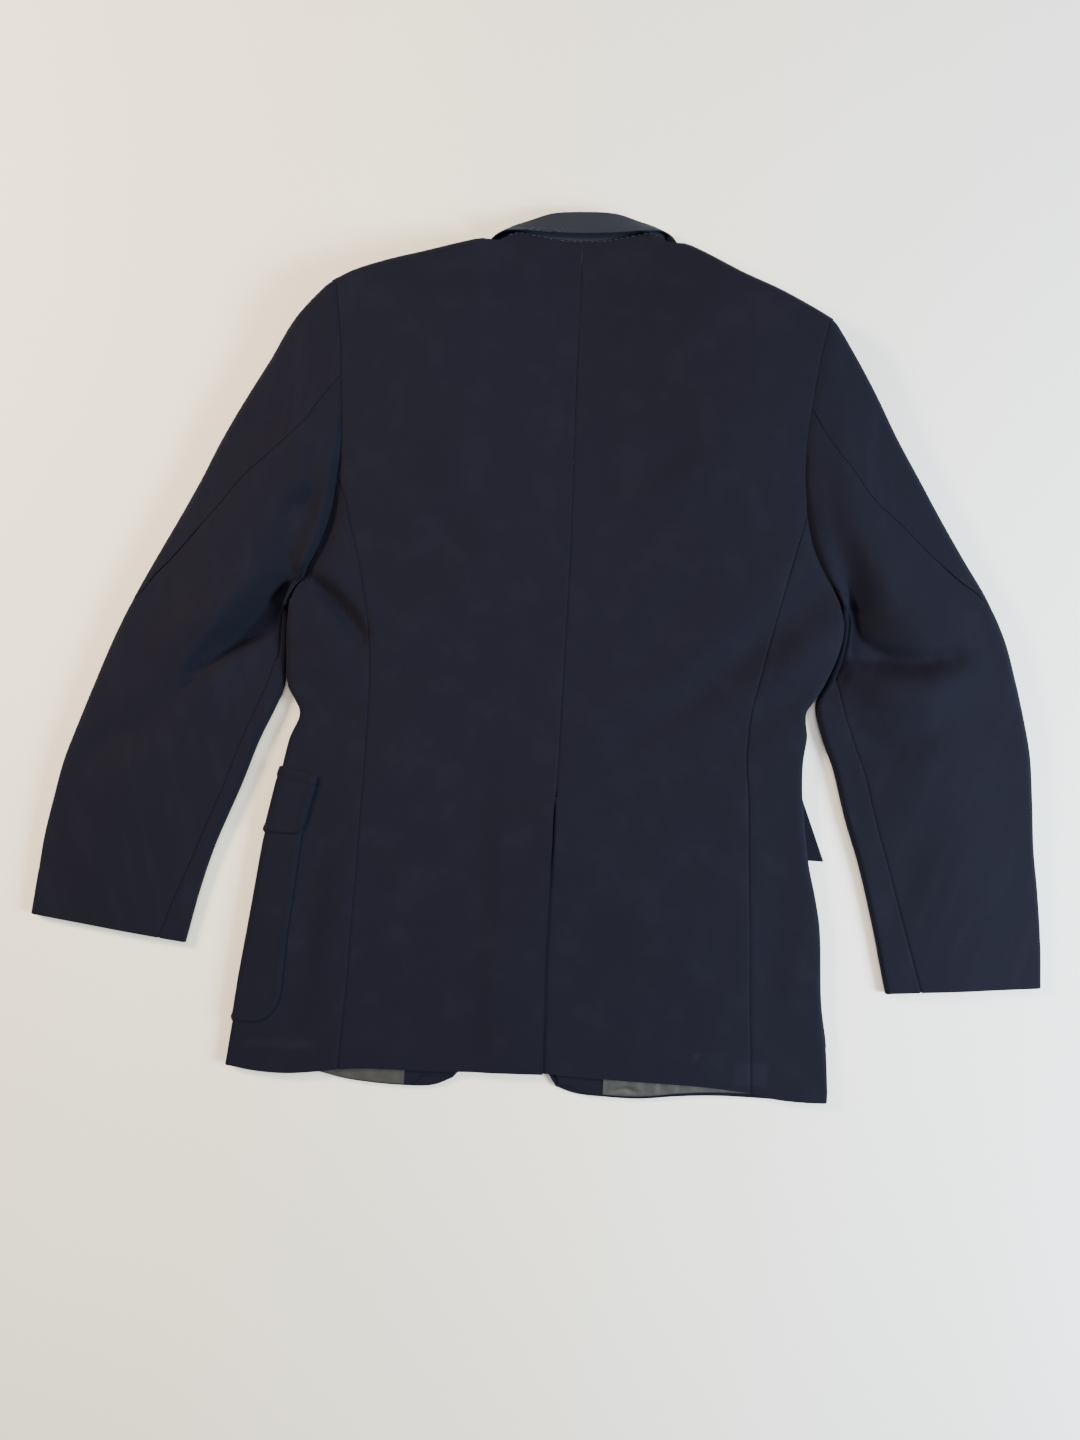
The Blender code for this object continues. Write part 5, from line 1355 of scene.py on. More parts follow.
@dataclass
class Fronts:
    """The two fronts, face down, with the lapels turned out under them."""

    finishes: Finishes
    seam_rows: int = 80
    arm_rows: int = 40
    columns: int = 40
    wrap: int = 8
    tip_reach: float = 0.230
    lapel_width: float = 0.086
    lapel_foot: float = 0.004
    lapel_slope: float = 0.030
    lapel_swell: float = 0.8
    lapel_points: tuple[int, int] = (60, 24)
    hem_plain: float = 0.045

    def outer_line(self, side: Side) -> np.ndarray:
        """The front's outer boundary: the seam with the side, then the front armhole up to the shoulder tip."""
        up = np.linspace(0, 1, self.seam_rows + 1)
        seam = side_front_seam(side, side_levels(side, up))
        seam[:, 1] += underarm_rise(side, seam[:, None], up)[:, 0]
        arm = outline(ARMHOLE_FRONT, side)[::-1]
        arm = arm[(arm[:, 1] > seam[-1, 1]) & (arm[:, 0] * side.out < self.tip_reach)]
        arm = at_shares(np.concatenate([seam[-1:], arm]), np.linspace(0, 1, self.arm_rows + 1))
        return np.concatenate([seam, arm[1:]]) - (side.out * SEAM_GAP, 0.0)

    def panel(self, side: Side) -> Surface:
        """The outer face of a front, which faces down: from the side to the front edge, and up to the shoulder."""
        out = np.linspace(0, 1, self.columns + 1)
        outer = self.outer_line(side)
        up = lengths_along(outer)
        hem = outline(HEM_FRONT, side)
        edge = at_shares(spline(FRONT_EDGE[side]), up)
        tangent, ways, roll = shoulder_lines(side, 1 - out)
        plan = coons(at_shares(hem, out), tangent, outer, edge, out, up)
        lift = overlap_lift(plan[..., 0], plan[..., 1]) if side is Side.RIGHT else 0.0
        under = level(plan, FRONT_REST + lift)
        high = back_height(tangent[:, 0], tangent[:, 1])
        share = 0.5 - SEAM_GAP / (math.pi * SHOULDER_ROLL)
        turns = np.linspace(0, share, self.wrap + 1)[:, None] * np.ones(self.columns + 1)[None]
        low = under.points[-1, :, 2]
        bend = rolled(plan[-1][None], ways[None], np.broadcast_to(roll, turns.shape), low, high, turns)
        return under.above(bend)

    def lapel(self, side: Side) -> Surface:
        """The outer face of a lapel, turned out under its front."""
        up, out = (np.linspace(0, 1, count) for count in self.lapel_points)
        levels = LAPEL_BREAK[side] + up * (LAPEL_TOP[side] - LAPEL_BREAK[side])
        turn = x_at(spline(FRONT_EDGE[side]), levels)
        width = self.lapel_foot + (self.lapel_width - self.lapel_foot) * up**self.lapel_swell
        x = turn[:, None] + side.out * width[:, None] * out
        plan = np.stack([x, levels[:, None] - self.lapel_slope * up[:, None] * out], -1)
        return level(plan, FRONT_REST - LAYER_GAP - CLOTH)

    def build(self) -> None:
        """Builds both fronts and both lapels."""
        wool = self.finishes.wool
        for side in Side:
            front = ClothPiece(
                f"front_{side.value}", self.panel(side), CLOTH, wool, ("foot", "outer"), self.hem_plain
            )
            lay_cloth(front)
            lapel = ClothPiece(f"lapel_{side.value}", self.lapel(side), CLOTH, wool, ("outer", "top"))
            lay_cloth(lapel)


@dataclass
class SleeveForm:
    """One sleeve as a flattened tube, from the armhole to the cuff.

    Stations run from 0 at the armhole to rows at the cuff. Places round the tube run from 0 to 1 up the outer fold,
    from 1 to 2 across the back, from 2 to 3 down the inner fold and from 3 to 4 across the underside."""

    side: Side
    rows: int = 150
    roll_weight: float = 2.0
    least: float = 0.0046
    edge_calm: tuple[float, float] = (0.16, 0.09)
    ease: float = 0.0006
    cap_start: tuple[float, float] = (0.112, 0.134)
    cap_fade: tuple[float, float] = (0.160, 0.300)
    puff: tuple[float, float, float] = (0.006, 0.010, 0.040)

    def __post_init__(self) -> None:
        """Works out the folds' lines and heights at every station."""
        sign, t = self.side.out, np.linspace(0, 1, self.rows + 1)
        self.along = t
        outer = outline(SLEEVE_OUTER, self.side)
        inner = outline(SLEEVE_INNER, self.side)
        outer_share = t + OUTER_LEAD * np.sin(np.pi * t)
        inner_share = t - INNER_LAG * np.sin(np.pi * t)
        self.rolls = [curve_of(SLEEVE_COLUMNS, SLEEVE, f"{n}_roll", t) for n in ("outer", "inner")]
        self.levels = [curve_of(SLEEVE_COLUMNS, SLEEVE, n, t) for n in ("outer", "crown", "inner")]
        self.outer_way = at_shares(outer, outer_share, outward_of(outer, sign))
        self.inner_way = at_shares(inner, inner_share, outward_of(inner, -sign))
        tip = mirrored([SHOULDER_TIP_WAY[self.side]], self.side)
        start = smooth(t, 0.0, 0.10)[:, None]
        self.outer_way = unit((1 - start) * tip / np.linalg.norm(tip) + start * self.outer_way)
        self.inner_way = unit((1 - start) * np.array([[-sign, 0.0]]) + start * self.inner_way)
        near = (1 - t[:, None]) ** 3 * (sign * ARM_GAP, 0.0)
        self.outer = at_shares(outer, outer_share) - self.outer_way * self.rolls[0][:, None] + near
        self.inner = at_shares(inner, inner_share) - self.inner_way * self.rolls[1][:, None] + near
        shares = np.linspace(0, 1, 60)
        self.back_arm = np.concatenate([upper_arm(self.side, shares), lower_arm(self.side, shares)[1:]])
        self.front_arm = outline(ARMHOLE_FRONT, self.side)

    def plan(self, station: int, share: np.ndarray, arm: np.ndarray, gap: float) -> np.ndarray:
        """Plan points at a station and shares of the way from the outer to the inner fold."""
        part = np.asarray(share, float)[:, None]
        start, end = self.outer[0], self.inner[0]
        apart = np.array([self.side.out * gap, 0.0])
        seam = at_shares(arm, share) + apart + (end - arm[-1] - apart) * smooth(part, 0.90, 1.0)
        bulge = seam - start - (end - start) * part
        fade = (1 - self.along[station]) ** (5 + 12 * part**3)
        return self.outer[station] + (self.inner[station] - self.outer[station]) * part + bulge * fade

    def height(self, station: int, share: np.ndarray, plan: np.ndarray) -> np.ndarray:
        """The back's height at a station."""
        t, share = self.along[station], np.asarray(share, float)
        parts = [values[station] for values in self.levels]
        window = smooth(share, 0.0, self.edge_calm[0]) * smooth(1 - share, 0.0, self.edge_calm[1])
        x, y = plan[:, 0], plan[:, 1]
        body = back_height(x, y)
        own = body + (across(*parts, share) - body) * smooth(t, 0.0, 0.10)
        folds = window * smooth(t, 0.0, 0.035) * (folds_at(SLEEVE_FOLDS, x, y) + waviness(x + 0.3, y))
        return own + (kept_above(own + folds, self.least) - own) * smooth(window, 0.0, 0.05)

    def rest(self, station: int) -> float:
        """How high the underside lies: on the surface, but for the rise to the front armhole."""
        return float(FRONT_REST * (1 - smooth(self.along[station], 0.02, 0.14)))

    def ends(self, station: int) -> np.ndarray:
        """How high the outer and the inner fold lie."""
        return self.height(station, np.array([0.0, 1.0]), np.stack([self.outer[station], self.inner[station]]))

    def lengths(self, station: int) -> np.ndarray:
        """The length round each of the four stretches."""
        width = float(np.linalg.norm(self.inner[station] - self.outer[station]))
        folds = [math.pi * (roll[station] + z / 2) / 2 for roll, z in zip(self.rolls, self.ends(station))]
        return np.array([folds[0], width, folds[1], width])

    def spread(self, station: int, start: float, end: float, shares: np.ndarray) -> np.ndarray:
        """Places round the tube at shares of the way from start to end, closer on the rolls."""
        lengths = self.lengths(station) * (self.roll_weight, 1.0, self.roll_weight, 1.0)
        along = np.concatenate([[0.0], np.cumsum(np.tile(lengths, 2))])
        marks = np.interp([start, end], np.arange(9.0), along)
        return np.interp(marks[0] + shares * (marks[1] - marks[0]), along, np.arange(9.0))

    def row(self, station: int, places: np.ndarray) -> Surface:
        """Points and ways out at some places round the tube."""
        points, ways = np.zeros((len(places), 3)), np.zeros((len(places), 3))
        places = np.asarray(places) % 4.0
        low, ends = self.rest(station), self.ends(station)
        folds = (
            (places < 1, self.outer, self.outer_way, places, 0),
            ((places > 2) & (places < 3), self.inner, self.inner_way, 3 - places, 1),
        )
        for chosen, tangent, way, turns, k in folds:
            if chosen.any():
                ones = np.ones((int(chosen.sum()), 1))
                reach = np.full(len(ones), self.rolls[k][station])
                piece = rolled(ones * tangent[station], ones * way[station], reach, low, ends[k], turns[chosen])
                points[chosen], ways[chosen] = piece.points, piece.ways
        back = (places >= 1) & (places <= 2)
        if back.any():
            share = places[back] - 1
            plan = self.plan(station, share, self.back_arm, ARM_GAP)
            points[back, :2], points[back, 2] = plan, self.height(station, share, plan)
            ways[back] = (0, 0, 1)
        under = places >= 3
        if under.any():
            points[under, :2] = self.plan(station, 4 - places[under], self.front_arm, UNDER_ARM_GAP)
            points[under, 2] = low
            ways[under] = (0, 0, -1)
        return Surface(points, ways)

    def seams(self, station: int) -> tuple[float, float]:
        """Where the elbow and forearm seams are round the tube, at a station."""
        names = [f"{self.side.value}_{name}" for name in ("elbow", "forearm")]
        line = [curve_of(SEAM_COLUMNS, SLEEVE_SEAMS, n, self.along[station]) for n in names]
        return float(line[0]), float(line[1])

    def gap(self, station: int, place: float) -> float:
        """Half a seam's gap, counted round the tube. It is wider where the seam turns over the outer fold."""
        wide = TURNING_SEAM if 0.5 < place < 1.1 else SEAM_GAP * 0.9
        return wide / self.lengths(station)[int(place % 4)]

    def half(self, is_top: bool, count: int) -> Surface:
        """The outer face of the top or the under sleeve, over all stations.

        Args:
            is_top: the top sleeve, from the forearm seam over the inner fold and the underside up to the elbow
                seam. The under sleeve lies between the elbow and the forearm seam.
            count: how many cells it has round the tube.

        Returns:
            The surface, from the armhole to the cuff.
        """
        shares = closer_at_ends(count, 0.6)
        rows = []
        for station in range(len(self.along)):
            elbow, forearm = self.seams(station)
            gaps = self.gap(station, elbow), self.gap(station, forearm)
            if is_top:
                start, end = forearm + gaps[1], 4 + elbow - gaps[0]
            else:
                start, end = elbow + gaps[0], forearm - gaps[1]
            rows.append(self.row(station, self.spread(station, start, end, shares)))
        surface = Surface(np.array([r.points for r in rows]), np.array([r.ways for r in rows]))
        apart = surface.from_edges()
        ditch = sum(SLEEVE_DITCH.at(apart[name]) for name in ("inner", "outer")) + CAP_DITCH.at(apart["foot"])
        y = surface.points[..., 1]
        low = (1 - smooth(y, *self.cap_fade)) * smooth(y, *self.cap_start)
        cap = (self.ease + CAP_RISE[self.side] * low) * np.clip(surface.ways[..., 2], 0, 1)
        start, full, end = self.puff
        puff = cap * smooth(apart["foot"], 0.0, start) * (1 - smooth(apart["foot"], full, end))
        return surface.raised(puff + HEM_TURNING.at(apart["top"]) + np.maximum(ditch, CAP_DITCH.rise))


@dataclass
class Sleeves:
    """The two-piece sleeves, flattened, with their elbow and forearm seams."""

    finishes: Finishes
    top_cells: int = 120
    under_cells: int = 70

    def build(self) -> None:
        """Builds the two halves of each sleeve."""
        for side in Side:
            form = SleeveForm(side)
            for is_top, cells in ((True, self.top_cells), (False, self.under_cells)):
                name = f"{'top' if is_top else 'under'}_sleeve_{side.value}"
                cloth = ClothPiece(name, form.half(is_top, cells), CLOTH, self.finishes.wool, ("top",))
                lay_cloth(cloth)


@dataclass
class Collar:
    """The collar in one piece: the stand, the roll and the leaf that falls over it."""

    finishes: Finishes
    stations: int = 221
    stand: int = 10
    turns: int = 14
    leaf: int = 60
    roll: float = 0.0018
    press_line: Relief = Relief(-0.00030, 0.0008, 0.0052)

    def section(self, foot: np.ndarray, roll: np.ndarray, edge: np.ndarray) -> np.ndarray:
        """Points from the foot, round the roll and down the leaf to the free edge."""
        toward = roll - (foot + edge) / 2
        toward = toward / np.linalg.norm(toward)
        over = foot - edge
        over = over - (over @ toward) * toward
        over = self.roll * over / np.linalg.norm(over)
        toward = self.roll * toward
        turns = np.linspace(0, math.pi, self.turns + 1)[:, None]
        bend = roll - toward + over * np.cos(turns) + toward * np.sin(turns)
        stand = foot + (bend[0] - foot) * np.linspace(0, 1, self.stand + 1)[:-1, None]
        leaf = bend[-1] + (edge - bend[-1]) * np.linspace(0, 1, self.leaf + 1)[1:, None]
        return np.concatenate([stand, bend, leaf])

    def lines(self) -> dict[str, np.ndarray]:
        """The foot, the roll and the free edge, from the left end round the neck to the right end."""
        found = {}
        for i, name in enumerate(COLLAR_COLUMNS):
            half = np.array([row[i] for row in COLLAR], float)
            whole = np.concatenate([half[::-1] * (-1, 1, 1), half[1:]])
            whole[:, 1] += NECK_SKEW * whole[:, 0]
            found[name] = at_shares(spline(whole), np.linspace(0, 1, self.stations))
        return found

    def face(self) -> Surface:
        """The collar's outer face, with the press line along the leaf's edge."""
        lines = self.lines()
        points = np.array([
            self.section(lines["foot"][i], lines["roll"][i], lines["edge"][i]) for i in range(self.stations)
        ])
        ways = np.cross(np.gradient(points, axis=1), np.gradient(points, axis=0))
        surface = Surface(np.maximum(points, (-1.0, -1.0, 0.0)), ways)
        return surface.raised(self.press_line.at(surface.from_edges()["outer"]))

    def build(self) -> None:
        """Builds the collar."""
        cloth = ClothPiece(
            "collar", self.face(), THIN_CLOTH, self.finishes.collar, ("foot", "top", "outer")
        )
        lay_cloth(cloth)


@dataclass
class Pockets:
    """The patch pockets with their flaps. The left ones show behind the side fold, the right ones in front of it.

    A corner is the height and the width that are rounded off. skew is how much the left flap's top slopes, tuck
    how far round the side fold the right pocket starts, and sag how far the right flap's free corner hangs."""

    finishes: Finishes
    foot: float = -0.2905
    top: float = -0.064
    width: float = 0.155
    corner: tuple[float, float] = (0.030, 0.0225)
    flap_foot: float = -0.1150
    flap_top: float = -0.0545
    flap_width: float = 0.163
    flap_corner: tuple[float, float] = (0.010, 0.008)
    skew: float = 0.24
    tuck: float = 0.42
    sag: float = 0.0038
    rows: int = 90
    flap_rows: int = 40
    rear_points: int = 25
    roll_points: int = 17
    front_points: int = 31
    free_points: int = 61
    patch_relief: tuple[Relief, ...] = (Relief(0.00070, 0.0026, 0.0034), Relief(-0.0005, 0.0012))
    flap_relief: tuple[Relief, ...] = (Relief(0.00110, 0.0030, 0.0034), Relief(-0.0006, 0.0012))
    welt_relief: tuple[Relief, ...] = (Relief(0.0006, 0.0030, 0.0055), Relief(-0.0008, 0.0009, 0.0105))

    def wrapped(self, side: Side, rear: Optional[np.ndarray], levels: np.ndarray, reach: float) -> Surface:
        """A surface on the body's outer face, from a rear edge on the back round the side fold to the front.

        Args:
            side: which side.
            rear: how far out the rear edge lies at each level, or None where the piece starts on the fold.
            levels: the rows' y.
            reach: how far it runs on the front.

        Returns:
            The surface, in rows from the foot up.
        """
        tangent, way, wide = fold_line(side, levels)
        high = back_height(tangent[:, 0], tangent[:, 1])[:, None]
        first = self.tuck if rear is None else 1
        turns = np.linspace(first, 0, self.roll_points)[None] * np.ones((len(levels), 1))
        bend = rolled(tangent[:, None], way[:, None], wide[:, None] * np.ones_like(turns), FRONT_REST, high, turns)
        inner = tangent - (side.out * reach, 0.0)
        found = bend.beside(level(between(tangent, inner, self.front_points), FRONT_REST))
        if rear is None:
            return found
        edge = np.stack([side.out * rear, levels], 1)
        return draped(between(edge, tangent, self.rear_points), back_height).beside(found)

    def rear_edge(self, table: Table, levels: np.ndarray, corner: tuple[float, float]) -> np.ndarray:
        """A rear edge with its lower corner rounded off."""
        found = x_at(np.array(table)[::-1], levels)
        near = np.clip(1 - (levels - levels[0]) / corner[0], 0, 1)
        return found + corner[1] * (1 - np.sqrt(1 - near**2))

    def patch(self, side: Side) -> Surface:
        """A pocket's outer face."""
        levels = self.foot + (self.top - self.foot) * closer_at_ends(self.rows, 0.6)
        rear = self.rear_edge(POCKET_REAR, levels, self.corner) if side is Side.LEFT else None
        surface = self.wrapped(side, rear, levels, self.width).raised(np.array(LAYER_GAP + THIN_CLOTH))
        apart = surface.from_edges()
        edge = np.minimum(apart["inner"], apart["foot"])
        return surface.raised(sum(part.at(edge) for part in self.patch_relief))

    def flap(self, side: Side) -> Surface:
        """A flap's outer face, with the welt along its top, kept above the floor."""
        levels = self.flap_foot + (self.flap_top - self.flap_foot) * closer_at_ends(self.flap_rows, 0.6)
        if side is Side.LEFT:
            rear = self.rear_edge(FLAP_REAR, levels, self.flap_corner)
            surface = self.wrapped(side, rear, levels, self.flap_width)
            shown = surface.points[:, :self.rear_points]
            inward = np.clip(fold_line(side, levels)[0][:, :1] - shown[..., 0], None, 0)
            rise = (levels - self.flap_foot)[:, None] / (self.flap_top - self.flap_foot)
            shown[..., 1] += self.skew * inward * rise
        else:
            surface = self.free_flap(levels)
        surface = surface.raised(np.array(2 * (LAYER_GAP + THIN_CLOTH)))
        apart = surface.from_edges()
        edge = np.minimum(apart["inner"], apart["foot"])
        relief = sum(part.at(edge) for part in self.flap_relief)
        surface = surface.raised(relief + sum(part.at(apart["top"]) for part in self.welt_relief))
        surface.points[..., 2] = np.maximum(surface.points[..., 2], FLOOR_GAP)
        return surface

    def free_flap(self, levels: np.ndarray) -> Surface:
        """The right flap lies flat under the front, and its free rear corner sticks out past the side fold."""
        share = np.clip((self.flap_top - levels) / (self.flap_top - self.flap_foot), 0, 1)
        free = np.array(FLAP_FREE)
        start = np.stack([np.interp(share, free[:, 0], free[:, 1]), levels - self.sag * share], 1)
        inner = fold_line(Side.RIGHT, levels)[0] - (self.flap_width, 0.0)
        return level(between(start, inner, self.free_points), FRONT_REST)

    def build(self) -> None:
        """Builds both pockets and both flaps."""
        wool = self.finishes.wool
        for side in Side:
            name = side.value
            patch = ClothPiece(f"pocket_{name}", self.patch(side), THIN_CLOTH, wool, ("foot", "top", "inner", "outer"))
            lay_cloth(patch)
            flap = ClothPiece(f"flap_{name}", self.flap(side), THIN_CLOTH, wool, ("foot", "top", "inner", "outer"))
            lay_cloth(flap)


@dataclass
class HemInsides:
    """The strips of facing and lining that show past the back's hem, inside the fronts."""

    finishes: Finishes
    rows: int = 40
    columns: int = 110
    ease: float = 0.0005

    def strip(self, side: Side, start: np.ndarray, end: float) -> np.ndarray:
        """Plan points of a strip inside a front near its hem, between two plan distances and up from the hem."""
        hem = outline(HEM_FRONT, side)
        order = np.argsort(hem[:, 0])
        x = np.linspace(start, end, self.columns)
        foot = np.interp(x, hem[order, 0], hem[order, 1]) + HEM_MARGIN
        up = np.linspace(0, 1, self.rows)[:, None]
        levels = foot[None] + up * (HEM_STRIP_TOP - foot)[None]
        return np.stack([x + np.zeros_like(levels), levels], -1)

    def creases(self, x: np.ndarray, y: np.ndarray) -> np.ndarray:
        """The lining's small creases, which run up from the hem."""
        first = np.sin(2 * np.pi * (x + 0.35 * y) / 0.0190 + 1.5 * np.sin(x * 61.0))
        second = np.sin(2 * np.pi * (x - 0.60 * y) / 0.0083 + 2.0)
        return 0.00016 * first + 0.00008 * second

    def build(self) -> None:
        """Builds both strips on both sides."""
        for side in Side:
            split, far = FACING_INNER[side], LINING_OUTER[side]
            lining = self.strip(side, split + side.out * SEAM_GAP, far)
            facing = self.strip(side, split, 0.0)
            near = x_at(spline(FRONT_EDGE[side]), facing[:, 0, 1])
            shares = np.linspace(0, 1, self.columns)[None]
            facing[..., 0] = split + (near[:, None] + side.out * HEM_MARGIN - split) * shares
            for kind, plan, slot in (("lining", lining, Slot.LINING), ("facing", facing, Slot.WOOL)):
                x, y = plan[..., 0], plan[..., 1]
                lift = overlap_lift(x, y) if side is Side.RIGHT else 0.0
                face = sheet_over(plan, FRONT_REST + CLOTH + LAYER_GAP + THIN_CLOTH + lift, 1.0)
                material = self.finishes.wool
                if kind == "lining":
                    apart = face.from_edges()
                    calm = smooth(apart["foot"], 0.0, 0.003) * smooth(apart["inner"], 0.0, 0.004)
                    face = face.raised(self.ease + calm * self.creases(x, y) + LINING_PLEAT.height(x, y))
                    material = self.finishes.lining
                name = f"{kind}_{side.value}"
                lay_cloth(ClothPiece(name, face, THIN_CLOTH, material, ("foot",)))


@dataclass
class Buttons:
    """The two front buttons, face down below the left front.

    profile is the turned section, radius and height, from the sunk middle of the face round the rim to the back."""

    finishes: Finishes
    levels: tuple[float, float] = (0.000, -0.110)
    x: float = -0.022
    segments: int = 64
    sharp: float = 40.0
    profile: Table = (
        (0.0045, 0.00055), (0.0062, 0.00035), (0.0072, 0.00008), (0.0086, 0.0), (0.0096, 0.0003),
        (0.0100, 0.0009), (0.0099, 0.0015), (0.0092, 0.0020), (0.0078, 0.0022),
    )

    def build(self) -> None:
        """Builds the buttons."""
        turns = [2 * math.pi * k / self.segments for k in range(self.segments)]
        for number, up in enumerate(self.levels, 1):
            x, y = self.x - ORIGIN_X, up - ORIGIN_Y
            mesh = bmesh.new()
            rings = [
                [mesh.verts.new((x + radius * math.cos(turn), y + radius * math.sin(turn), z)) for turn in turns]
                for radius, z in self.profile
            ]
            for first, second in zip(rings[:-1], rings[1:]):
                for k in range(self.segments):
                    n = (k + 1) % self.segments
                    mesh.faces.new((first[k], first[n], second[n], second[k]))
            mesh.faces.new(rings[0][::-1])
            mesh.faces.new(rings[-1])
            data = bpy.data.meshes.new(f"button_{number}")
            mesh.to_mesh(data)
            mesh.free()
            data.materials.append(self.finishes.horn)
            data.shade_smooth()
            data.set_sharp_from_angle(angle=math.radians(self.sharp))
            dress(placed(f"button_{number}", data), [f"front_button_{number}"])


@dataclass(frozen=True)
class StitchRun:
    """A run of hand stitches along a line on the cloth.

    spacing is from stitch to stitch, length and radius are the thread's that shows."""

    name: str
    line: np.ndarray
    spacing: float
    length: float
    radius: float
    seed: int

    def tree(self, material: bpy.types.Material) -> bpy.types.GeometryNodeTree:
        """The node tree that sets a short thread at every step of the line."""
        tree = bpy.data.node_groups.new(f"{self.name}_tree", "GeometryNodeTree")
        face = tree.interface
        face.new_socket("Geometry", in_out="INPUT", socket_type="NodeSocketGeometry")
        for name, value in (("Spacing", self.spacing), ("Stitch Length", self.length), ("Radius", self.radius)):
            face.new_socket(name, in_out="INPUT", socket_type="NodeSocketFloat").default_value = value
        face.new_socket("Seed", in_out="INPUT", socket_type="NodeSocketInt").default_value = self.seed
        face.new_socket("Geometry", in_out="OUTPUT", socket_type="NodeSocketGeometry")
        kinds = {
            "given": "NodeGroupInput", "curve": "GeometryNodeMeshToCurve", "steps": "GeometryNodeResampleCurve",
            "thread": "GeometryNodeMeshUVSphere", "shape": "ShaderNodeCombineXYZ",
            "tangent": "GeometryNodeInputTangent", "turn": "FunctionNodeAlignRotationToVector",
            "scatter": "FunctionNodeRandomValue", "size": "ShaderNodeVectorMath",
            "place": "GeometryNodeInstanceOnPoints", "real": "GeometryNodeRealizeInstances",
            "dye": "GeometryNodeSetMaterial", "result": "NodeGroupOutput",
        }
        nodes = {name: tree.nodes.new(kind) for name, kind in kinds.items()}
        nodes["steps"].mode = "LENGTH"
        nodes["turn"].axis = "X"
        nodes["scatter"].data_type = "FLOAT"
        nodes["size"].operation = "SCALE"
        for name, socket, value in (
            ("thread", "Segments", 8), ("thread", "Rings", 6), ("thread", "Radius", 0.5),
            ("scatter", 2, 0.65), ("scatter", 3, 1.15), ("dye", "Material", material),
        ):
            nodes[name].inputs[socket].default_value = value
        for start, socket, end, into in (
            ("given", "Geometry", "curve", "Mesh"), ("curve", "Curve", "steps", "Curve"),
            ("given", "Spacing", "steps", "Length"), ("steps", "Curve", "place", "Points"),
            ("given", "Stitch Length", "shape", "X"), ("given", "Radius", "shape", "Y"),
            ("given", "Radius", "shape", "Z"), ("given", "Seed", "scatter", "Seed"), ("shape", 0, "size", 0),
            ("scatter", 1, "size", "Scale"), ("tangent", "Tangent", "turn", "Vector"),
            ("turn", "Rotation", "place", "Rotation"), ("thread", "Mesh", "place", "Instance"),
            ("size", 0, "place", "Scale"), ("place", "Instances", "real", "Geometry"),
            ("real", "Geometry", "dye", "Geometry"), ("dye", "Geometry", "result", "Geometry"),
        ):
            tree.links.new(nodes[start].outputs[socket], nodes[end].inputs[into])
        return tree

    def build(self, material: bpy.types.Material) -> bpy.types.Object:
        """Runs the tree along the line and keeps its result as a plain mesh."""
        guide = bpy.data.meshes.new(f"{self.name}_guide")
        points = self.line - (ORIGIN_X, ORIGIN_Y, 0.0)
        guide.from_pydata(points.tolist(), [(i, i + 1) for i in range(len(points) - 1)], [])
        carrier = placed(f"{self.name}_guide", guide)
        modifier = carrier.modifiers.new("stitches", "NODES")
        tree = self.tree(material)
        modifier.node_group = tree
        sizes = {"Spacing": self.spacing, "Stitch Length": self.length, "Radius": 2 * self.radius, "Seed": self.seed}
        for item in tree.interface.items_tree:
            if item.in_out == "INPUT" and item.name in sizes:
                modifier[item.identifier] = sizes[item.name]
        evaluated = carrier.evaluated_get(bpy.context.evaluated_depsgraph_get())
        data = bpy.data.meshes.new_from_object(evaluated)
        data.name = self.name
        data.shade_smooth()
        carrier.modifiers.clear()
        bpy.data.objects.remove(carrier)
        return placed(self.name, data)


@dataclass
class HandStitches:
    """The hand stitches that hold the undercollar along the back neck seam."""

    finishes: Finishes
    spacing: float = 0.0052
    length: float = 0.0034
    radius: float = 0.00018
    seed: int = 7

    def neck_line(self) -> np.ndarray:
        """The back neck seam from one neck point to the other, on the cloth."""
        shares = np.linspace(0.08, 0.90, 60)
        left = neck_plan(Side.LEFT, shares)[::-1]
        right = neck_plan(Side.RIGHT, shares)
        plan = np.concatenate([left, right]) + (0.0, 0.0006)
        z = back_height(plan[:, 0], plan[:, 1] - 0.002) + 0.0002
        return np.concatenate([plan, z[:, None]], 1)

    def build(self) -> None:
        """Builds the stitches."""
        run = StitchRun("neck_stitches", self.neck_line(), self.spacing, self.length, self.radius, self.seed)
        dress(run.build(self.finishes.pale_thread))


# The studio


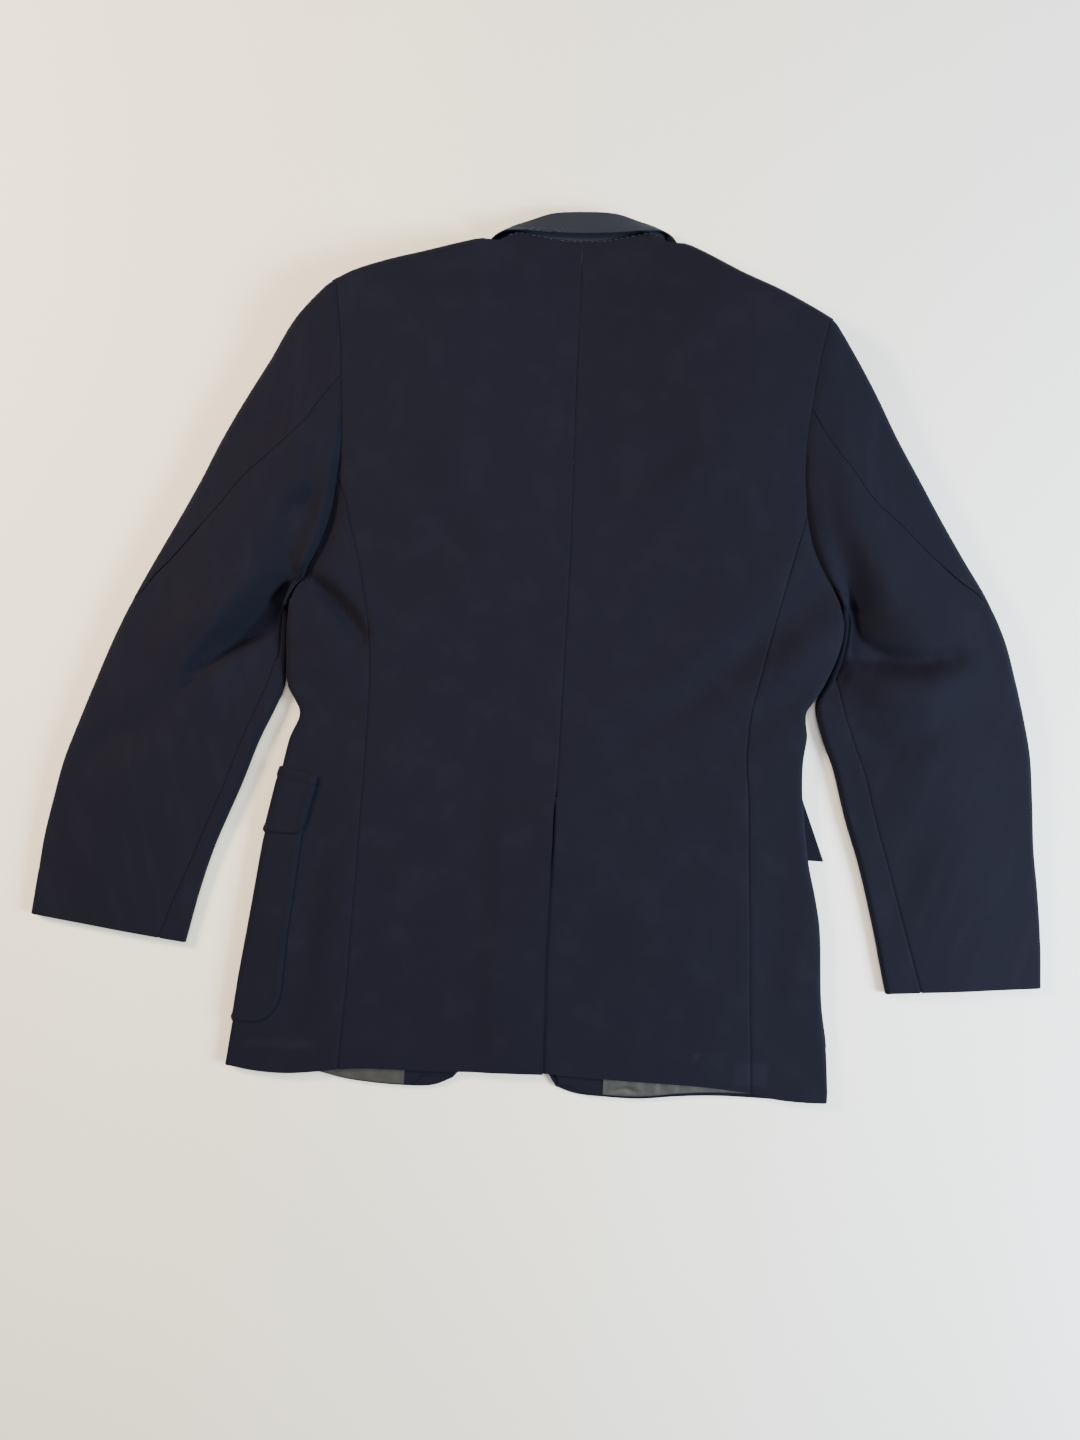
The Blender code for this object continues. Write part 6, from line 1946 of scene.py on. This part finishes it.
@dataclass
class Studio:
    """The floor, the lights and the camera."""

    lens_px: float = 1083.0
    image_height: float = 1440.0
    sensor: float = 36.0
    camera_height: float = 1.010
    camera_place: tuple[float, float] = (-0.0064, -0.0537)
    lean: float = 2.76
    floor_half: float = 4.0
    floor_level: float = -0.0003

    def floor(self) -> None:
        """Lays the floor."""
        half, z = self.floor_half, self.floor_level
        data = bpy.data.meshes.new("floor")
        corners = [(-half, -half, z), (half, -half, z), (half, half, z), (-half, half, z)]
        data.from_pydata(corners, [], [(0, 1, 2, 3)])
        # The warm colour on the floor's left is painted warm lamp light.
        data.materials.append(FloorFinish("pale_floor", (0.92, 0.915, 0.90), (0.92, 0.84, 0.69)).build())
        floor = placed("floor", data)

    def light(self, name: str, place: tuple[float, float, float], size: float, power: float,
              colour: tuple[float, float, float]) -> None:
        """Hangs an area light that faces the garment's middle."""
        data = bpy.data.lights.new(name, "AREA")
        data.shape = "SQUARE"
        data.size = size
        data.energy = power
        data.color = colour
        lamp = placed(name, data)
        lamp.location = place
        aim = -np.array(place) / np.linalg.norm(place)
        pitch = math.acos(max(-1.0, min(1.0, -aim[2])))
        lamp.rotation_euler = (pitch, 0.0, math.atan2(aim[1], aim[0]) - math.pi / 2)

    def lights(self) -> None:
        """Sets a cool light from the upper right, a weaker warm one from the left, and a pale fill."""
        self.light("window_light", (1.55, -0.42, 0.98), 0.7, 104.0, (0.76, 0.90, 1.0))
        self.light("warm_light", (-1.40, 0.55, 0.94), 0.35, 56.0, (1.0, 0.80, 0.54))
        self.light("overhead_fill", (0.10, 0.75, 2.3), 1.8, 42.0, (1.0, 0.99, 0.97))
        world = bpy.data.worlds.new("studio")
        world.use_nodes = True
        background = world.node_tree.nodes["Background"]
        background.inputs["Color"].default_value = (0.94, 0.96, 1.0, 1)
        background.inputs["Strength"].default_value = 0.25
        bpy.context.scene.world = world

    def camera(self) -> None:
        """Sets the camera straight above, at the photo's distance and roll."""
        data = bpy.data.cameras.new("camera")
        data.sensor_fit = "VERTICAL"
        data.sensor_height = self.sensor
        data.lens = self.sensor * self.lens_px / self.image_height
        data.clip_start = 0.05
        camera = placed("camera", data)
        camera.location = (*self.camera_place, self.camera_height)
        camera.rotation_euler = (0.0, 0.0, math.radians(self.lean))
        bpy.context.scene.camera = camera

    def build(self) -> None:
        """Sets everything up."""
        self.floor()
        self.lights()
        self.camera()


def main() -> None:
    """Builds the garment, piece by piece, and the studio."""
    logging.basicConfig(level=logging.INFO, format="%(name)s: %(message)s")
    finishes = Finishes(
        wool=WoolFinish("navy_wool_twill", (0.0055, 0.0053, 0.0105)).build(),
        # The collar's cloth is paler than the body's navy: partly felt, partly painted light on the leaf that faces
        # the light.
        collar=WoolFinish("collar_felt_with_painted_light", (0.0152, 0.0176, 0.0250), bloom=0.05, wale=0.0014).build(),
        lining=LiningFinish("grey_lining_satin", (0.0235, 0.0225, 0.0212)).build(),
        horn=HornFinish("dark_horn_polished", (0.020, 0.016, 0.013)).build(),
        pale_thread=ThreadFinish("grey_blue_thread", (0.045, 0.050, 0.066)).build(),
    )
    for assembly in (
        BackHalves(finishes), SidePanels(finishes), Fronts(finishes), Sleeves(finishes), Collar(finishes),
        Pockets(finishes), HemInsides(finishes), Buttons(finishes), HandStitches(finishes),
    ):
        log.info("building %s", type(assembly).__name__)
        assembly.build()
    Studio().build()


if __name__ == "__main__":
    main()
